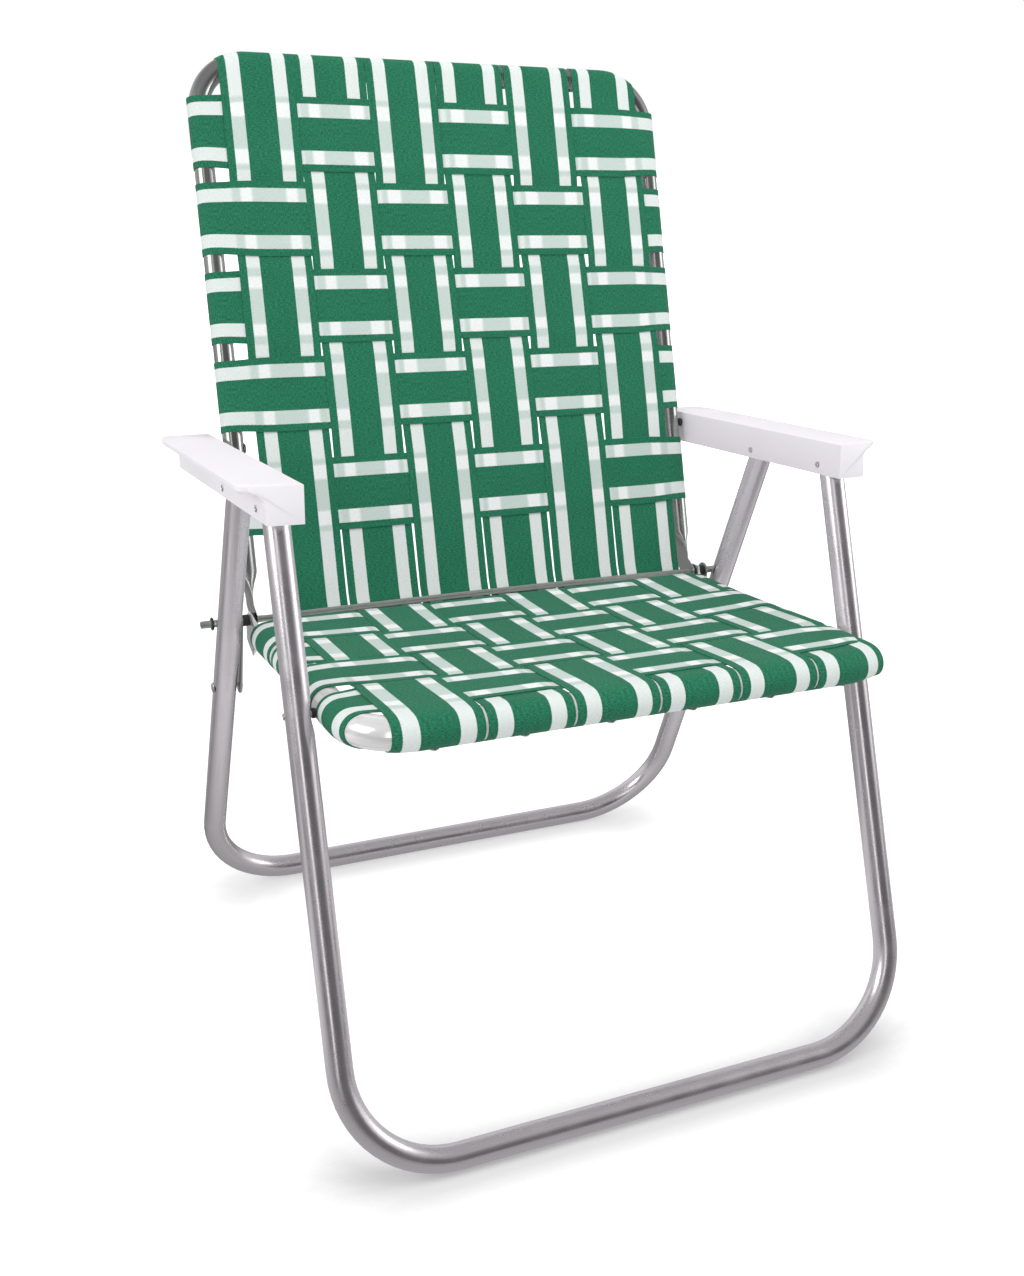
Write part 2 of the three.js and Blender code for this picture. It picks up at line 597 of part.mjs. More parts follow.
// Arm rests
function armShape() {
  const roof = ARM_ABOVE_PIVOT;
  const floor = -ARM_BELOW_PIVOT;
  const edge = ARM_OUTER + ARM_OVERHANG;
  const coveDrop = ARM_RIM + ARM_OVERHANG / 2;
  const section = [[ARM_INNER, floor], [ARM_OUTER, floor], [ARM_OUTER, roof - coveDrop]];
  for (let i = 1; i <= ARM_COVE_STEPS; i += 1) {
    const turn = (Math.PI / 2) * (i / ARM_COVE_STEPS);
    const out = (ARM_OVERHANG - ARM_RIM / 2) * (1 - Math.cos(turn));
    const rise = (coveDrop - ARM_RIM) * Math.sin(turn);
    section.push([ARM_OUTER + out, roof - coveDrop + rise]);
  }
  const [faceFoot, faceTop] = ARM_RIM_FACE_SHARES;
  section.push([edge, roof - ARM_RIM * faceFoot], [edge, roof - ARM_RIM * faceTop]);
  section.push([edge - ARM_RIM * faceTop, roof], [ARM_INNER, roof]);
  const outer = new THREE.Shape(section.map(([x, h]) => new THREE.Vector2(x, h)));
  const solid = new THREE.ExtrudeGeometry(outer, { depth: ARM_FRONT + ARM_REAR, bevelEnabled: false });
  const across = new THREE.Vector3(1, 0, 0);
  const back = armPlan.along.clone().negate();
  solid.applyMatrix4(new THREE.Matrix4().makeBasis(across, armPlan.up, back));
  const start = armPlan.at(0, ARM_REAR, 0);
  solid.translate(start.x, start.y, start.z);

  // Seen from above: a skewed front, rounded corners and a tapered rear
  const [skewAtWall, skewAtCorner] = ARM_SKEW_SHARES;
  const [taperCorner, rearCorner] = ARM_REAR_CORNER_SHARES;
  const plan = [[ARM_INNER, -ARM_FRONT], [ARM_OUTER, -ARM_FRONT + ARM_FRONT_SKEW * skewAtWall]];
  plan.push([edge - ARM_CORNER_R, -ARM_FRONT + ARM_FRONT_SKEW * skewAtCorner]);
  for (let i = 1; i <= ARM_CORNER_STEPS; i += 1) {
    const turn = (Math.PI / 2) * (i / ARM_CORNER_STEPS);
    const x = edge - ARM_CORNER_R + ARM_CORNER_R * Math.sin(turn);
    plan.push([x, -ARM_FRONT + ARM_FRONT_SKEW + ARM_CORNER_R * (1 - Math.cos(turn))]);
  }
  plan.push([edge, ARM_REAR - ARM_REAR_TAPER]);
  plan.push([edge - ARM_CORNER_R * taperCorner, ARM_REAR - ARM_REAR_TAPER / 2]);
  plan.push([edge - ARM_CORNER_R * rearCorner, ARM_REAR - ARM_CORNER_R / 2]);
  plan.push([ARM_OUTER, ARM_REAR]);
  plan.push([ARM_INNER + ARM_CORNER_R, ARM_REAR], [ARM_INNER, ARM_REAR - ARM_CORNER_R]);
  const trimShape = new THREE.Shape(plan.map(([x, s]) => new THREE.Vector2(x, s)));
  const height = ARM_ABOVE_PIVOT + ARM_BELOW_PIVOT + 2 * GAP;
  const trim = new THREE.ExtrudeGeometry(trimShape, { depth: height, bevelEnabled: false });
  trim.applyMatrix4(new THREE.Matrix4().makeBasis(across, armPlan.along, armPlan.up));
  const low = armPlan.at(0, 0, floor - GAP);
  trim.translate(low.x, low.y, low.z);

  const channel = block(armPlan, [ARM_INNER + ARM_WALL, ARM_OUTER - ARM_WALL],
    [-ARM_FRONT + ARM_WALL + ARM_FRONT_SKEW * skewAtWall, ARM_REAR - ARM_WALL],
    [floor - GAP, roof - ARM_TOP_THICKNESS]);
  const shell = toManifold(solid).intersect(toManifold(trim)).subtract(toManifold(channel));
  const pins = [
    cylinder(RIVET_HOLE_R, ARM_INNER - GAP, ARM_OUTER + GAP, FRONT_LEG_TOP),
    cylinder(RIVET_HOLE_R, ARM_INNER - GAP, ARM_OUTER + GAP, REAR_LEG_TOP),
    cylinder(RIVET_HOLE_R, ARM_INNER - GAP, ARM_INNER + ARM_WALL + GAP, BACK_ARM_POINT),
  ];
  return cut(fromManifold(shell), pins);
}
addPair('arm', armShape(), WHITE_PLASTIC);
addPair('arm_front_rivet', rivet(ARM_INNER - GAP, ARM_OUTER + GAP, FRONT_LEG_TOP), STEEL);
addPair('arm_rear_rivet', rivet(ARM_INNER - GAP, ARM_OUTER + GAP, REAR_LEG_TOP), STEEL);
const backInner = BACK_X - BACK_TUBE_R;
const bushEnd = ARM_INNER - 2 * GAP;
addPair('back_arm_rivet', pinWithHead(backInner - GAP, ARM_INNER - GAP, BACK_ARM_POINT), STEEL);
addPair('back_arm_bush', ringSolid(BUSH_R, RIVET_HOLE_R,
  FRAME_HALF_WIDTH + GAP, bushEnd, BACK_ARM_POINT), BLACK_NYLON);
addPair('arm_pivot_head', outerPin(ARM_INNER, ARM_INNER + ARM_WALL + GAP, BACK_ARM_POINT), STEEL);

// Webbing: a ribbon of even thickness along a side-view or cross-section line
function ribbon(line, width, frame, origin) {
  const half = WEB_THICKNESS / 2;
  const upper = [];
  const lower = [];
  for (let i = 0; i < line.length; i += 1) {
    const p = new THREE.Vector2(...line[i]);
    const before = i > 0 ? p.clone().sub(new THREE.Vector2(...line[i - 1])).normalize() : null;
    const after = i < line.length - 1 ? new THREE.Vector2(...line[i + 1]).sub(p).normalize() : null;
    const first = before ?? after;
    const second = after ?? before;
    const normal = new THREE.Vector2(-first.y - second.y, first.x + second.x).normalize();
    const reach = half / Math.max(1 / WEB_MITRE_LIMIT, normal.dot(new THREE.Vector2(-first.y, first.x)));
    upper.push(p.clone().addScaledVector(normal, reach));
    lower.push(p.clone().addScaledVector(normal, -reach));
  }
  const outline = new THREE.Shape([...upper, ...lower.reverse()]);
  const solid = new THREE.ExtrudeGeometry(outline, { depth: width, bevelEnabled: false });
  solid.translate(0, 0, -width / 2);
  const third = new THREE.Vector3().crossVectors(frame[0], frame[1]);
  solid.applyMatrix4(new THREE.Matrix4().makeBasis(frame[0], frame[1], third));
  solid.translate(origin.x, origin.y, origin.z);
  return solid;
}

// Corners of a wrap round a tube at [a, b], half a turn from one angle to another in degrees.
// Each straight between two corners touches the circle of the given radius at its middle
function wrap(a, b, radius, fromDeg, toDeg) {
  const points = [];
  const step = (toDeg - fromDeg) / WEB_ARC_STEPS;
  const reach = radius / Math.cos(rad(step / 2));
  for (let i = 0; i < WEB_ARC_STEPS; i += 1) {
    const turn = rad(fromDeg + step * (i + 0.5));
    points.push([a + reach * Math.cos(turn), b + reach * Math.sin(turn)]);
  }
  return points;
}

// Level changes of a strap that passes crossings in order, each over or under the other strap
function woven(crossings, level, crossingWidth) {
  const points = [];
  const half = crossingWidth / 2;
  for (const { place, over } of crossings) {
    const height = level + (over ? WEAVE_STEP : 0);
    points.push([place - half - GAP, height], [place + half + GAP, height]);
  }
  return points;
}

const acrossX = new THREE.Vector3(1, 0, 0);

// Room for the seat's pivots: the first cross strap is tucked in beside them
function pivotNotch() {
  const [pivotA] = seatPlan.place(SEAT_PIVOT);
  const reach = SEAT_TUBE_R + WEB_THICKNESS + 2 * GAP;
  return block(seatPlan, [SEAT_X, SEAT_X + 2 * reach], [pivotA - BUSH_R - 2 * GAP, pivotA + BUSH_R + GAP],
    [-reach, reach / 2]);
}

function crossStrap(plan, row, tubeX, tubeR) {
  const radius = tubeR + WEB_LEVEL;
  const crossings = columns.map((column) => ({
    place: columnX(column),
    over: (column % 2 === 1) === row.overEven,
  }));
  const line = [
    [-tubeX + WEB_TAIL, -radius],
    ...wrap(-tubeX, 0, radius, 270, 90),
    ...woven(crossings, radius, LONG_WEB_WIDTH),
    ...wrap(tubeX, 0, radius, 90, -90),
    [tubeX - WEB_TAIL, -radius],
  ];
  return ribbon(line, WEB_WIDTH, [acrossX, plan.up], plan.at(0, row.place, 0));
}

function longCrossings(rows, column) {
  return rows.map((row) => ({
    place: row.place,
    over: (column % 2 === 1) !== row.overEven,
  }));
}

function seatLongStrap(column) {
  const radius = SEAT_TUBE_R + WEB_LEVEL;
  const [rodA, rodB] = ROD_ON_SEAT;
  const underRod = rodB - ROD_R - WEB_LEVEL;
  const line = [
    [WEB_TAIL, -radius],
    ...wrap(0, 0, radius, 270, 90),
    ...woven(longCrossings(seatRows, column), radius, WEB_WIDTH),
    [rodA - WEB_DROP_START, underRod],
    [rodA + WEB_UNDER_ROD_REACH, underRod],
  ];
  return ribbon(line, LONG_WEB_WIDTH, [seatPlan.along, seatPlan.up], seatPlan.at(columnX(column), 0, 0));
}

function backLongStrap(column) {
  const radius = BACK_TUBE_R + WEB_LEVEL;
  const rows = backRows.slice().reverse();
  const line = [
    [BACK_WEB_END, radius],
    ...woven(longCrossings(rows, column), radius, WEB_WIDTH),
    ...wrap(BACK_TOP, 0, radius, 90, -90),
    [BACK_TOP - WEB_TAIL, -radius],
  ];
  return ribbon(line, LONG_WEB_WIDTH, [backPlan.along, backPlan.up], backPlan.at(columnX(column), 0, 0));
}

seatRows.forEach((row, i) => {
  const strap = cut(crossStrap(seatPlan, row, SEAT_X, SEAT_TUBE_R), [pivotNotch(), mirrored(pivotNotch())]);
  add(`seat_cross_strap_${i + 1}`, strap, GREEN_WEB);
});
backRows.forEach((row, i) => {
  add(`back_cross_strap_${i + 1}`, crossStrap(backPlan, row, BACK_X, BACK_TUBE_R), GREEN_WEB);
});
for (const column of columns) {
  add(`seat_long_strap_${column + 1}`, seatLongStrap(column), GREEN_WEB);
  add(`back_long_strap_${column + 1}`, backLongStrap(column), GREEN_WEB);
}

// Stand the chair on the origin: the middle of its footprint on the floor
const box = new THREE.Box3().setFromObject(chair);
chair.position.y = -(box.min.y + box.max.y) / 2;

export default chair;
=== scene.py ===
import json
import math
import bpy
import numpy as np
from mathutils import Matrix, Vector

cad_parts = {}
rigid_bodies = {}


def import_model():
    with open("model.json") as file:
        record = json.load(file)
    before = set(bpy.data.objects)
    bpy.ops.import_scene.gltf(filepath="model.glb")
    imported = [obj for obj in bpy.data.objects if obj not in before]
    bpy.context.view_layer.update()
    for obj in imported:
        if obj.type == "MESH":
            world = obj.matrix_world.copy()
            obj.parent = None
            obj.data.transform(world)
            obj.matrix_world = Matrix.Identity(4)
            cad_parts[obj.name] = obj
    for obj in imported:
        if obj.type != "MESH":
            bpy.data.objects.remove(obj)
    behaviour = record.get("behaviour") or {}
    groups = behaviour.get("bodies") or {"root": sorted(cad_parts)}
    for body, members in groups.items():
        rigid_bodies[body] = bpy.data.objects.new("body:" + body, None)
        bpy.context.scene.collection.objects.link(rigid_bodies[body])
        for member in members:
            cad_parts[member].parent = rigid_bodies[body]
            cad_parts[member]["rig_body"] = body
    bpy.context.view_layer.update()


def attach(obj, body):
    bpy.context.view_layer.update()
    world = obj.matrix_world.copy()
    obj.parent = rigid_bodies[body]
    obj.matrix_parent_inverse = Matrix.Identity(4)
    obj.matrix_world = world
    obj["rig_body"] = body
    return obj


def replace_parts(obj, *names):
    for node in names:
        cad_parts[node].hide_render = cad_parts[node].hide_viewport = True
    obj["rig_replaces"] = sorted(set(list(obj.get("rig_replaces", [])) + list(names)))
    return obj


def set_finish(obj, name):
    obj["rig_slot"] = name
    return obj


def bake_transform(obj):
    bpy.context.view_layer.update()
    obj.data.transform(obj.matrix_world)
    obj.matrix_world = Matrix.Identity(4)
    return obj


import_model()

# Camera: a 40 mm lens stands in front of the chair, to its right hand side and a little above
# the arm rests, and looks down on the seat. It leans a few degrees, as the picture does.
camera_place = Vector((-0.6432, -1.2997, 0.9748))
camera_forward = Vector((0.40208, 0.84101, -0.36199)).normalized()
camera_lean = math.radians(3.167)
picture_height = 1276
focal_length, shift_right, shift_up = 1423.7, 2.3, -27.3
film_height = 36
bpy.ops.object.select_all(action="DESELECT")
bpy.ops.object.camera_add(location=camera_place)
camera = bpy.context.object
level_right = camera_forward.cross(Vector((0, 0, 1))).normalized()
level_up = level_right.cross(camera_forward)
camera_right = level_right * math.cos(camera_lean) + level_up * math.sin(camera_lean)
camera_up = level_up * math.cos(camera_lean) - level_right * math.sin(camera_lean)
camera.matrix_world = Matrix.Translation(camera_place) @ Matrix(
    (camera_right, camera_up, -camera_forward)).transposed().to_4x4()
camera.data.sensor_width = film_height
camera.data.lens = film_height * focal_length / picture_height
camera.data.shift_x = shift_right / picture_height
camera.data.shift_y = shift_up / picture_height
camera.data.clip_end = 60
bpy.context.scene.camera = camera
bpy.context.scene.view_settings.view_transform = "Standard"

# Studio floor: a wide white sheet of paper. Beside the floor bars it shows a painted shadow, where their
# ambient occlusion dims its glow, and it reads as plain white elsewhere. The polished tubes show it as a
# painted reflection, darker before and behind the chair.
# Painted reflection: the shades, by depth along Y, that the floor glows with to glossy rays
painted_floor_reflection = [(-0.9, 0.13), (-0.3, 0.45), (-0.05, 0.72), (0.15, 0.42), (0.3, 0.27), (0.6, 0.4)]


def feed(tree, node, inputs):
    """Gives each input of a node its value, or a link from another node's output."""
    for socket, value in inputs.items():
        if isinstance(value, bpy.types.NodeSocket):
            tree.links.new(value, node.inputs[socket])
        else:
            node.inputs[socket].default_value = value


def add_node(tree, kind, inputs, out=0, **settings):
    node = tree.nodes.new("ShaderNode" + kind)
    for setting, value in settings.items():
        setattr(node, setting, value)
    feed(tree, node, inputs)
    return node.outputs[out]


def number(tree, operation, *values):
    return add_node(tree, "Math", dict(enumerate(values)), operation=operation)


def ranged(tree, value, low, high, to_low=0, to_high=1, **settings):
    """The value's run from low to high, made a run from to_low to to_high."""
    return add_node(tree, "MapRange", {"Value": value, "From Min": low, "From Max": high,
                                       "To Min": to_low, "To Max": to_high}, **settings)


def between(tree, low, high, share, **settings):
    """The colour low where the share is 0, and high where it is 1."""
    return add_node(tree, "Mix", {"Factor": share, 6: low, 7: high}, 2, data_type="RGBA", **settings)


def shades_along(tree, value, low, high, shades, tint=(1, 1, 1)):
    """A ramp of shades at their places along a value, tinted."""
    ramp = tree.nodes.new("ShaderNodeValToRGB")
    elements = ramp.color_ramp.elements
    while len(elements) < len(shades):
        elements.new(0.5)
    for element, (place, shade) in zip(elements, shades):
        element.position = (place - low) / (high - low)
        element.color = (*[shade * part for part in tint], 1)
    feed(tree, ramp, {"Fac": ranged(tree, value, low, high)})
    return ramp.outputs["Color"]


bpy.ops.object.select_all(action="DESELECT")
bpy.ops.mesh.primitive_plane_add(size=24, location=(0, 0, 0))
floor = bpy.context.object
floor.name = "studio_floor"
paper = bpy.data.materials.new("white_paper")
paper.use_nodes = True
tree = paper.node_tree
tree.nodes.clear()
path = tree.nodes.new("ShaderNodeLightPath")
to_camera = path.outputs["Is Camera Ray"]
place = tree.nodes.new("ShaderNodeTexCoord").outputs["Object"]
depth = add_node(tree, "SeparateXYZ", {0: place}, "Y")
matt = add_node(tree, "BsdfDiffuse", {
    "Color": between(tree, (0.86, 0.86, 0.86, 1), (0.5, 0.5, 0.5, 1), to_camera)})
# What the camera sees glows a little: more under and behind the chair, where the glow lifts the seat's
# shade to white, in the open and far off. Less glow beside the floor bars is a painted shadow.
nearness = ranged(tree, depth, -0.33, -0.15, 0.24, 0.47, interpolation_type="SMOOTHSTEP")
# Painted shadow: the bars' ambient occlusion takes glow away beside them
covered = add_node(tree, "AmbientOcclusion", {"Distance": 0.11}, "AO", samples=16)
lift_outside_painted_shadow = ranged(tree, covered, 0.85, 0.945, 0, 0.27)
distance = add_node(tree, "VectorMath", {0: place}, "Value", operation="LENGTH")
far_off = ranged(tree, distance, 1.3, 2.6, 0, 0.5)
level = number(tree, "ADD", number(tree, "ADD", nearness, lift_outside_painted_shadow), far_off)
glow = add_node(tree, "Emission", {"Strength": number(tree, "MULTIPLY", level, to_camera)})
seen = add_node(tree, "AddShader", {0: matt, 1: glow})
# Painted reflection: to glossy rays the floor is a glow in these shades, not the lit paper
mirrored = add_node(tree, "Emission", {
    "Color": (1, 0.96, 0.985, 1), "Strength": shades_along(tree, depth, -1, 1, painted_floor_reflection)})
both = add_node(tree, "MixShader", {"Fac": path.outputs["Is Glossy Ray"], 1: seen, 2: mirrored})
tree.links.new(both, tree.nodes.new("ShaderNodeOutputMaterial").inputs["Surface"])
floor.data.materials.append(paper)

# Studio light: an even white room lights the chair. What its polished tubes mirror are the
# room's walls, here by bearing in degrees: one bright strip beside the camera, a dark opening to
# the right of it, and pale walls elsewhere. Soft boxes hang above, to the left and to the right.
wall_shades = [(-180, 0.62), (-120, 0.8), (-70, 0.55), (-45, 0.36), (-15, 0.36), (-11, 1.7), (-5, 1.7),
               (-1, 0.2), (14, 0.12), (60, 0.14), (72, 0.45), (82, 0.95), (98, 1.05), (112, 0.8),
               (135, 0.6), (180, 0.62)]
world = bpy.context.scene.world or bpy.data.worlds.new("studio")
bpy.context.scene.world = world
world.use_nodes = True
tree = world.node_tree
tree.nodes.clear()
path = tree.nodes.new("ShaderNodeLightPath")
place = tree.nodes.new("ShaderNodeTexCoord").outputs["Generated"]
level_back = Vector((-camera_forward.x, -camera_forward.y, 0)).normalized()
bearing = number(tree, "ARCTAN2", *[
    add_node(tree, "VectorMath", {0: place, 1: way}, "Value", operation="DOT_PRODUCT")
    for way in (level_right, level_back)])
walls = shades_along(tree, bearing, -math.pi, math.pi,
                     [(math.radians(turn), shade) for turn, shade in wall_shades], (1, 0.955, 0.98))
height = ranged(tree, add_node(tree, "SeparateXYZ", {0: place}, "Z"), 0.35, 0.85,
                interpolation_type="SMOOTHSTEP")
room = add_node(tree, "Background", {"Color": (0.86, 0.86, 0.87, 1)})
mirrored = add_node(tree, "Background", {
    "Color": between(tree, walls, (0.42, 0.40, 0.41, 1), height)})
plain = add_node(tree, "Background", {"Color": (1, 1, 1, 1)})
glossy = add_node(tree, "MixShader", {"Fac": path.outputs["Is Glossy Ray"], 1: room, 2: mirrored})
both = add_node(tree, "MixShader", {"Fac": path.outputs["Is Camera Ray"], 1: glossy, 2: plain})
tree.links.new(both, tree.nodes.new("ShaderNodeOutputWorld").inputs["Surface"])
for name, spot, aim, size, watts in (
        ("top_box", (0.2, -0.5, 2.6), (0, 0.1, 0.4), 1.8, 23),
        ("left_box", (-2.3, -0.4, 1.5), (0, 0, 0.5), 1.3, 17),
        ("right_box", (2.3, -0.7, 1.3), (0, 0, 0.5), 1.1, 8)):
    bpy.ops.object.light_add(type="AREA", location=spot)
    lamp = bpy.context.object
    lamp.name = name
    lamp.data.size = size
    lamp.data.energy = watts
    lamp.rotation_mode = "QUATERNION"
    lamp.rotation_quaternion = (Vector(aim) - Vector(spot)).to_track_quat("-Z", "Y")
    lamp.visible_glossy = name != "top_box"

# Front leg frame: one length of 25 mm aluminium tube, bent twice into a wide U that stands on
# the floor, its open ends pinned inside the arm rests. Bright drawn finish, buffed along the tube.
floor_y = -0.3354646
leg_radius = 0.0127
leg_half_span = 0.308
leg_bend = 0.105
leg_past_pivot = 0.011
tube_wall = 0.0013
seat_pivot = (0.1715, 0.4075)
arm_front_pivot = (0.243, 0.5835)
dimple_reach, dimple_long, dimple_wide, dimple_deep = 0.03, 0.019, 0.0115, 0.0034


def speckle(tree, place, scale, detail=2):
    """Noise at one scale, or at its own scale each way."""
    if isinstance(scale, tuple):
        place, scale = add_node(tree, "Mapping", {"Vector": place, "Scale": scale}), 1
    return add_node(tree, "TexNoise", {"Vector": place, "Scale": scale, "Detail": detail})


def new_finish(name):
    """A new material, its nodes, and the place on the chair."""
    finish = bpy.data.materials.new(name)
    finish.use_nodes = True
    tree = finish.node_tree
    return finish, tree, tree.nodes.new("ShaderNodeTexCoord").outputs["Object"]


def dress_skin(tree, inputs, relief=None, strength=0.08, depth=0.0002):
    """The inputs of a finish's skin, with a bump where a relief is given."""
    if relief is not None:
        inputs["Normal"] = add_node(tree, "Bump", {
            "Strength": strength, "Distance": depth, "Height": relief})
    feed(tree, tree.nodes["Principled BSDF"], inputs)


def drawn_aluminium(name, tint=(0.82, 0.81, 0.83), rough=0.24, metallic=1.0, dull=0.86, fine=900):
    """Streaks along the tube from its drawing, clouds of softer polish, and fine scuffs."""
    metal, tree, place = new_finish(name)
    along_tube = add_node(tree, "UVMap", {}, uv_map="along_tube")
    streaks = speckle(tree, along_tube, (fine, 14, 1), 3)
    clouds = speckle(tree, place, 38, 4)
    scuffs = speckle(tree, place, 420)
    dress_skin(tree, {
        "Metallic": metallic,
        "Roughness": ranged(tree, clouds, 0.3, 0.7, rough - 0.05, rough + 0.09),
        "Base Color": between(tree, (*[c * dull for c in tint], 1),
                              (*[min(1, c * 1.1) for c in tint], 1), streaks)},
        number(tree, "MULTIPLY_ADD", scuffs, 0.04, streaks))
    return metal


def edit_all():
    bpy.ops.object.mode_set(mode="EDIT")
    bpy.ops.mesh.select_all(action="SELECT")


def turn_outwards():
    """All faces point outwards, and edit mode ends."""
    bpy.ops.mesh.select_all(action="SELECT")
    bpy.ops.mesh.normals_make_consistent(inside=False)
    bpy.ops.object.mode_set(mode="OBJECT")


def finish_with(piece, kind, **settings):
    """One modifier with its settings, applied."""
    modifier = piece.modifiers.new(kind.lower(), kind)
    for setting, value in settings.items():
        setattr(modifier, setting, value)
    bpy.ops.object.modifier_apply(modifier=modifier.name)


def open_ring(name, radius, centre):
    bpy.ops.object.select_all(action="DESELECT")
    bpy.ops.mesh.primitive_circle_add(
        vertices=40, radius=radius, location=centre, rotation=(math.pi / 2, 0, 0))
    ring = bpy.context.object
    ring.name = name
    edit_all()
    return ring


def draw_on(step, times=1):
    for _ in range(times):
        bpy.ops.mesh.extrude_region_move(TRANSFORM_OT_translate={"value": step})


def u_bend(half_span, bend, run, pieces=4):
    """Down one side, round both bends and up the other side, from a ring on the left."""
    draw_on((0, -run / pieces, 0), pieces)
    bpy.ops.mesh.spin(steps=16, angle=-math.pi / 2, center=(bend - half_span, bend, 0), axis=(0, 0, 1))
    draw_on(((half_span - bend) / 3, 0, 0), 6)
    bpy.ops.mesh.spin(steps=16, angle=-math.pi / 2, center=(half_span - bend, bend, 0), axis=(0, 0, 1))
    draw_on((0, run / pieces, 0), pieces)


def unroll(tube, half_span, bend):
    """The tube's own map: round it in u and along it in v, in metres."""
    mesh = tube.data
    layer = mesh.uv_layers.new(name="along_tube")
    for face in mesh.polygons:
        middle = None
        for corner in face.loop_indices:
            x, a, b = mesh.vertices[mesh.loops[corner].vertex_index].co
            side = 1 if x > 0 else -1
            x = abs(x)
            if a < bend and x > half_span - bend:
                reach = math.hypot(x - half_span + bend, bend - a)
                turn = math.atan2(bend - a, x - half_span + bend)
                along = half_span - bend + bend * (math.pi / 2 - turn)
                out_by = reach - bend
            elif a < bend:
                along, out_by = x, -a
            else:
                along = half_span - bend + bend * math.pi / 2 + a - bend
                out_by = x - half_span
            round_by = math.atan2(b, out_by)
            if middle is None:
                middle = round_by
            elif round_by - middle > math.pi:
                round_by -= 2 * math.pi
            elif middle - round_by > math.pi:
                round_by += 2 * math.pi
            layer.data[corner].uv = (round_by * leg_radius, side * along)


def finish_tube(tube, half_span, bend, wall, lean, y, z, metal, steps=()):
    """Normals outwards, wall thickness inwards, then tilted and set in its place."""
    turn_outwards()
    bpy.ops.object.transform_apply()
    for step in steps:
        step(tube)
    unroll(tube, half_span, bend)
    if wall:
        finish_with(tube, "SOLIDIFY", thickness=wall, offset=-1)
    tube.rotation_euler = (lean, 0, 0)
    tube.location = (0, y, z)
    bpy.ops.object.transform_apply()
    bpy.ops.object.shade_smooth_by_angle(angle=math.radians(35))
    tube.data.materials.clear()
    tube.data.materials.append(metal)


aluminium = drawn_aluminium("drawn_aluminium")


def leg_frame(name, foot_y, top, steps=()):
    run = math.hypot(top[0] - foot_y, top[1] - leg_radius)
    lean = math.atan2(top[1] - leg_radius, top[0] - foot_y)
    legs = open_ring(name, leg_radius, (-leg_half_span, run + leg_past_pivot, 0))
    u_bend(leg_half_span, leg_bend, run + leg_past_pivot - leg_bend)
    finish_tube(legs, leg_half_span, leg_bend, tube_wall, lean, foot_y + floor_y, leg_radius,
                aluminium, steps)
    return legs


def dimple_at_pivot(tube):
    """The tube is pressed in a little round the seat's rivet, on its inner side."""
    run = math.hypot(seat_pivot[0], seat_pivot[1] - leg_radius)
    bpy.ops.object.mode_set(mode="EDIT")
    for i in range(15):
        bpy.ops.mesh.select_all(action="SELECT")
        bpy.ops.mesh.bisect(plane_co=(0, run + dimple_reach * (i / 7 - 1), 0), plane_no=(0, 1, 0))
    bpy.ops.object.mode_set(mode="OBJECT")
    for vertex in tube.data.vertices:
        x, a, b = vertex.co
        side = 1 if x > 0 else -1
        inward = leg_half_span - abs(x)
        near = math.hypot((a - run) / dimple_long, b / dimple_wide)
        if near < 1 and inward > 0.002:
            vertex.co.x += side * dimple_deep * (1 - near * near) ** 2


front_legs = leg_frame("front_legs", 0, arm_front_pivot, [dimple_at_pivot])
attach(front_legs, "front_frame")
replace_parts(front_legs, "front_leg_frame")
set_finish(front_legs, "polished_aluminium")

# Rear leg frame: the same tube in a slightly lower U, pinned in the arm rests behind the front
# legs. Its legs lean back against the ends of the cross rod.
rear_foot_y = 0.548
arm_rear_pivot = (0.369, 0.5665)
rear_legs = leg_frame("rear_legs", rear_foot_y, arm_rear_pivot)
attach(rear_legs, "rear_frame")
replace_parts(rear_legs, "rear_leg_frame")
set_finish(rear_legs, "polished_aluminium")

# Seat frame: a U of thicker 32 mm tube, open at the rear. Each rear end is pressed flat and
# trimmed to a blunt point that carries the cross rod. Its rails spread and rise a little forwards.
seat_radius = 0.015875
seat_wall = 0.0012
frame_half_width = 0.2854
seat_x = frame_half_width - seat_radius
seat_bend = 0.05
seat_lean = math.radians(-5.71)
seat_front = (0.083 + floor_y, 0.4148)
seat_straight = 0.322
seat_end_x = 0.2804
widened, raised = 0.006, 0.004
seat_press = [
    (seat_straight, 1, 1, 0), (0.3307, 0.82, 0.93, 0.18), (0.3394, 0.54, 0.89, 0.55),
    (0.344, 0.4, 0.87, 0.7), (0.3475, 0.2, 1.15, 0.86), (0.351, 0.088, 1.474, 1),
    (0.364, 0.088, 1.474, 1), (0.373, 0.088, 1.474, 1)]


def ease_in(x, start, end):
    t = min(1, max(0, (x - start) / (end - start)))
    return t * t * (3 - 2 * t)


def seat_spread(a):
    """How much wider the seat is at a place along it than at its rear ends."""
    return 1 + widened / seat_x * ease_in(-a, -0.27, -0.05)


def seat_rise(a):
    return raised * ease_in(-a, -0.30, 0)


def pressed_end(sections, x, shift_x, shift_b):
    """The ring at the tube's end drawn on through sections of (place, thin, wide, shift)."""
    last = sections[0]
    here = Vector((x, last[0], 0))
    for section in sections[1:]:
        moved = section[3] - last[3]
        step = Vector((shift_x * moved, section[0] - last[0], shift_b * moved))
        draw_on(step)
        here += step
        bpy.ops.transform.resize(
            value=(section[1] / last[1], 1, section[2] / last[2]), center_override=here)
        last = section


def first_ring_again(along, x_sign):
    """Selects the open ring that stands at a place along the tube, on one side."""
    tube = bpy.context.object
    bpy.ops.mesh.select_all(action="DESELECT")
    bpy.ops.object.mode_set(mode="OBJECT")
    for vertex in tube.data.vertices:
        place = tube.matrix_world @ vertex.co
        vertex.select = abs(place.y - along) < 0.0001 and place.x * x_sign > 0
    for edge in tube.data.edges:
        edge.select = all(tube.data.vertices[v].select for v in edge.vertices)
    bpy.ops.object.mode_set(mode="EDIT")


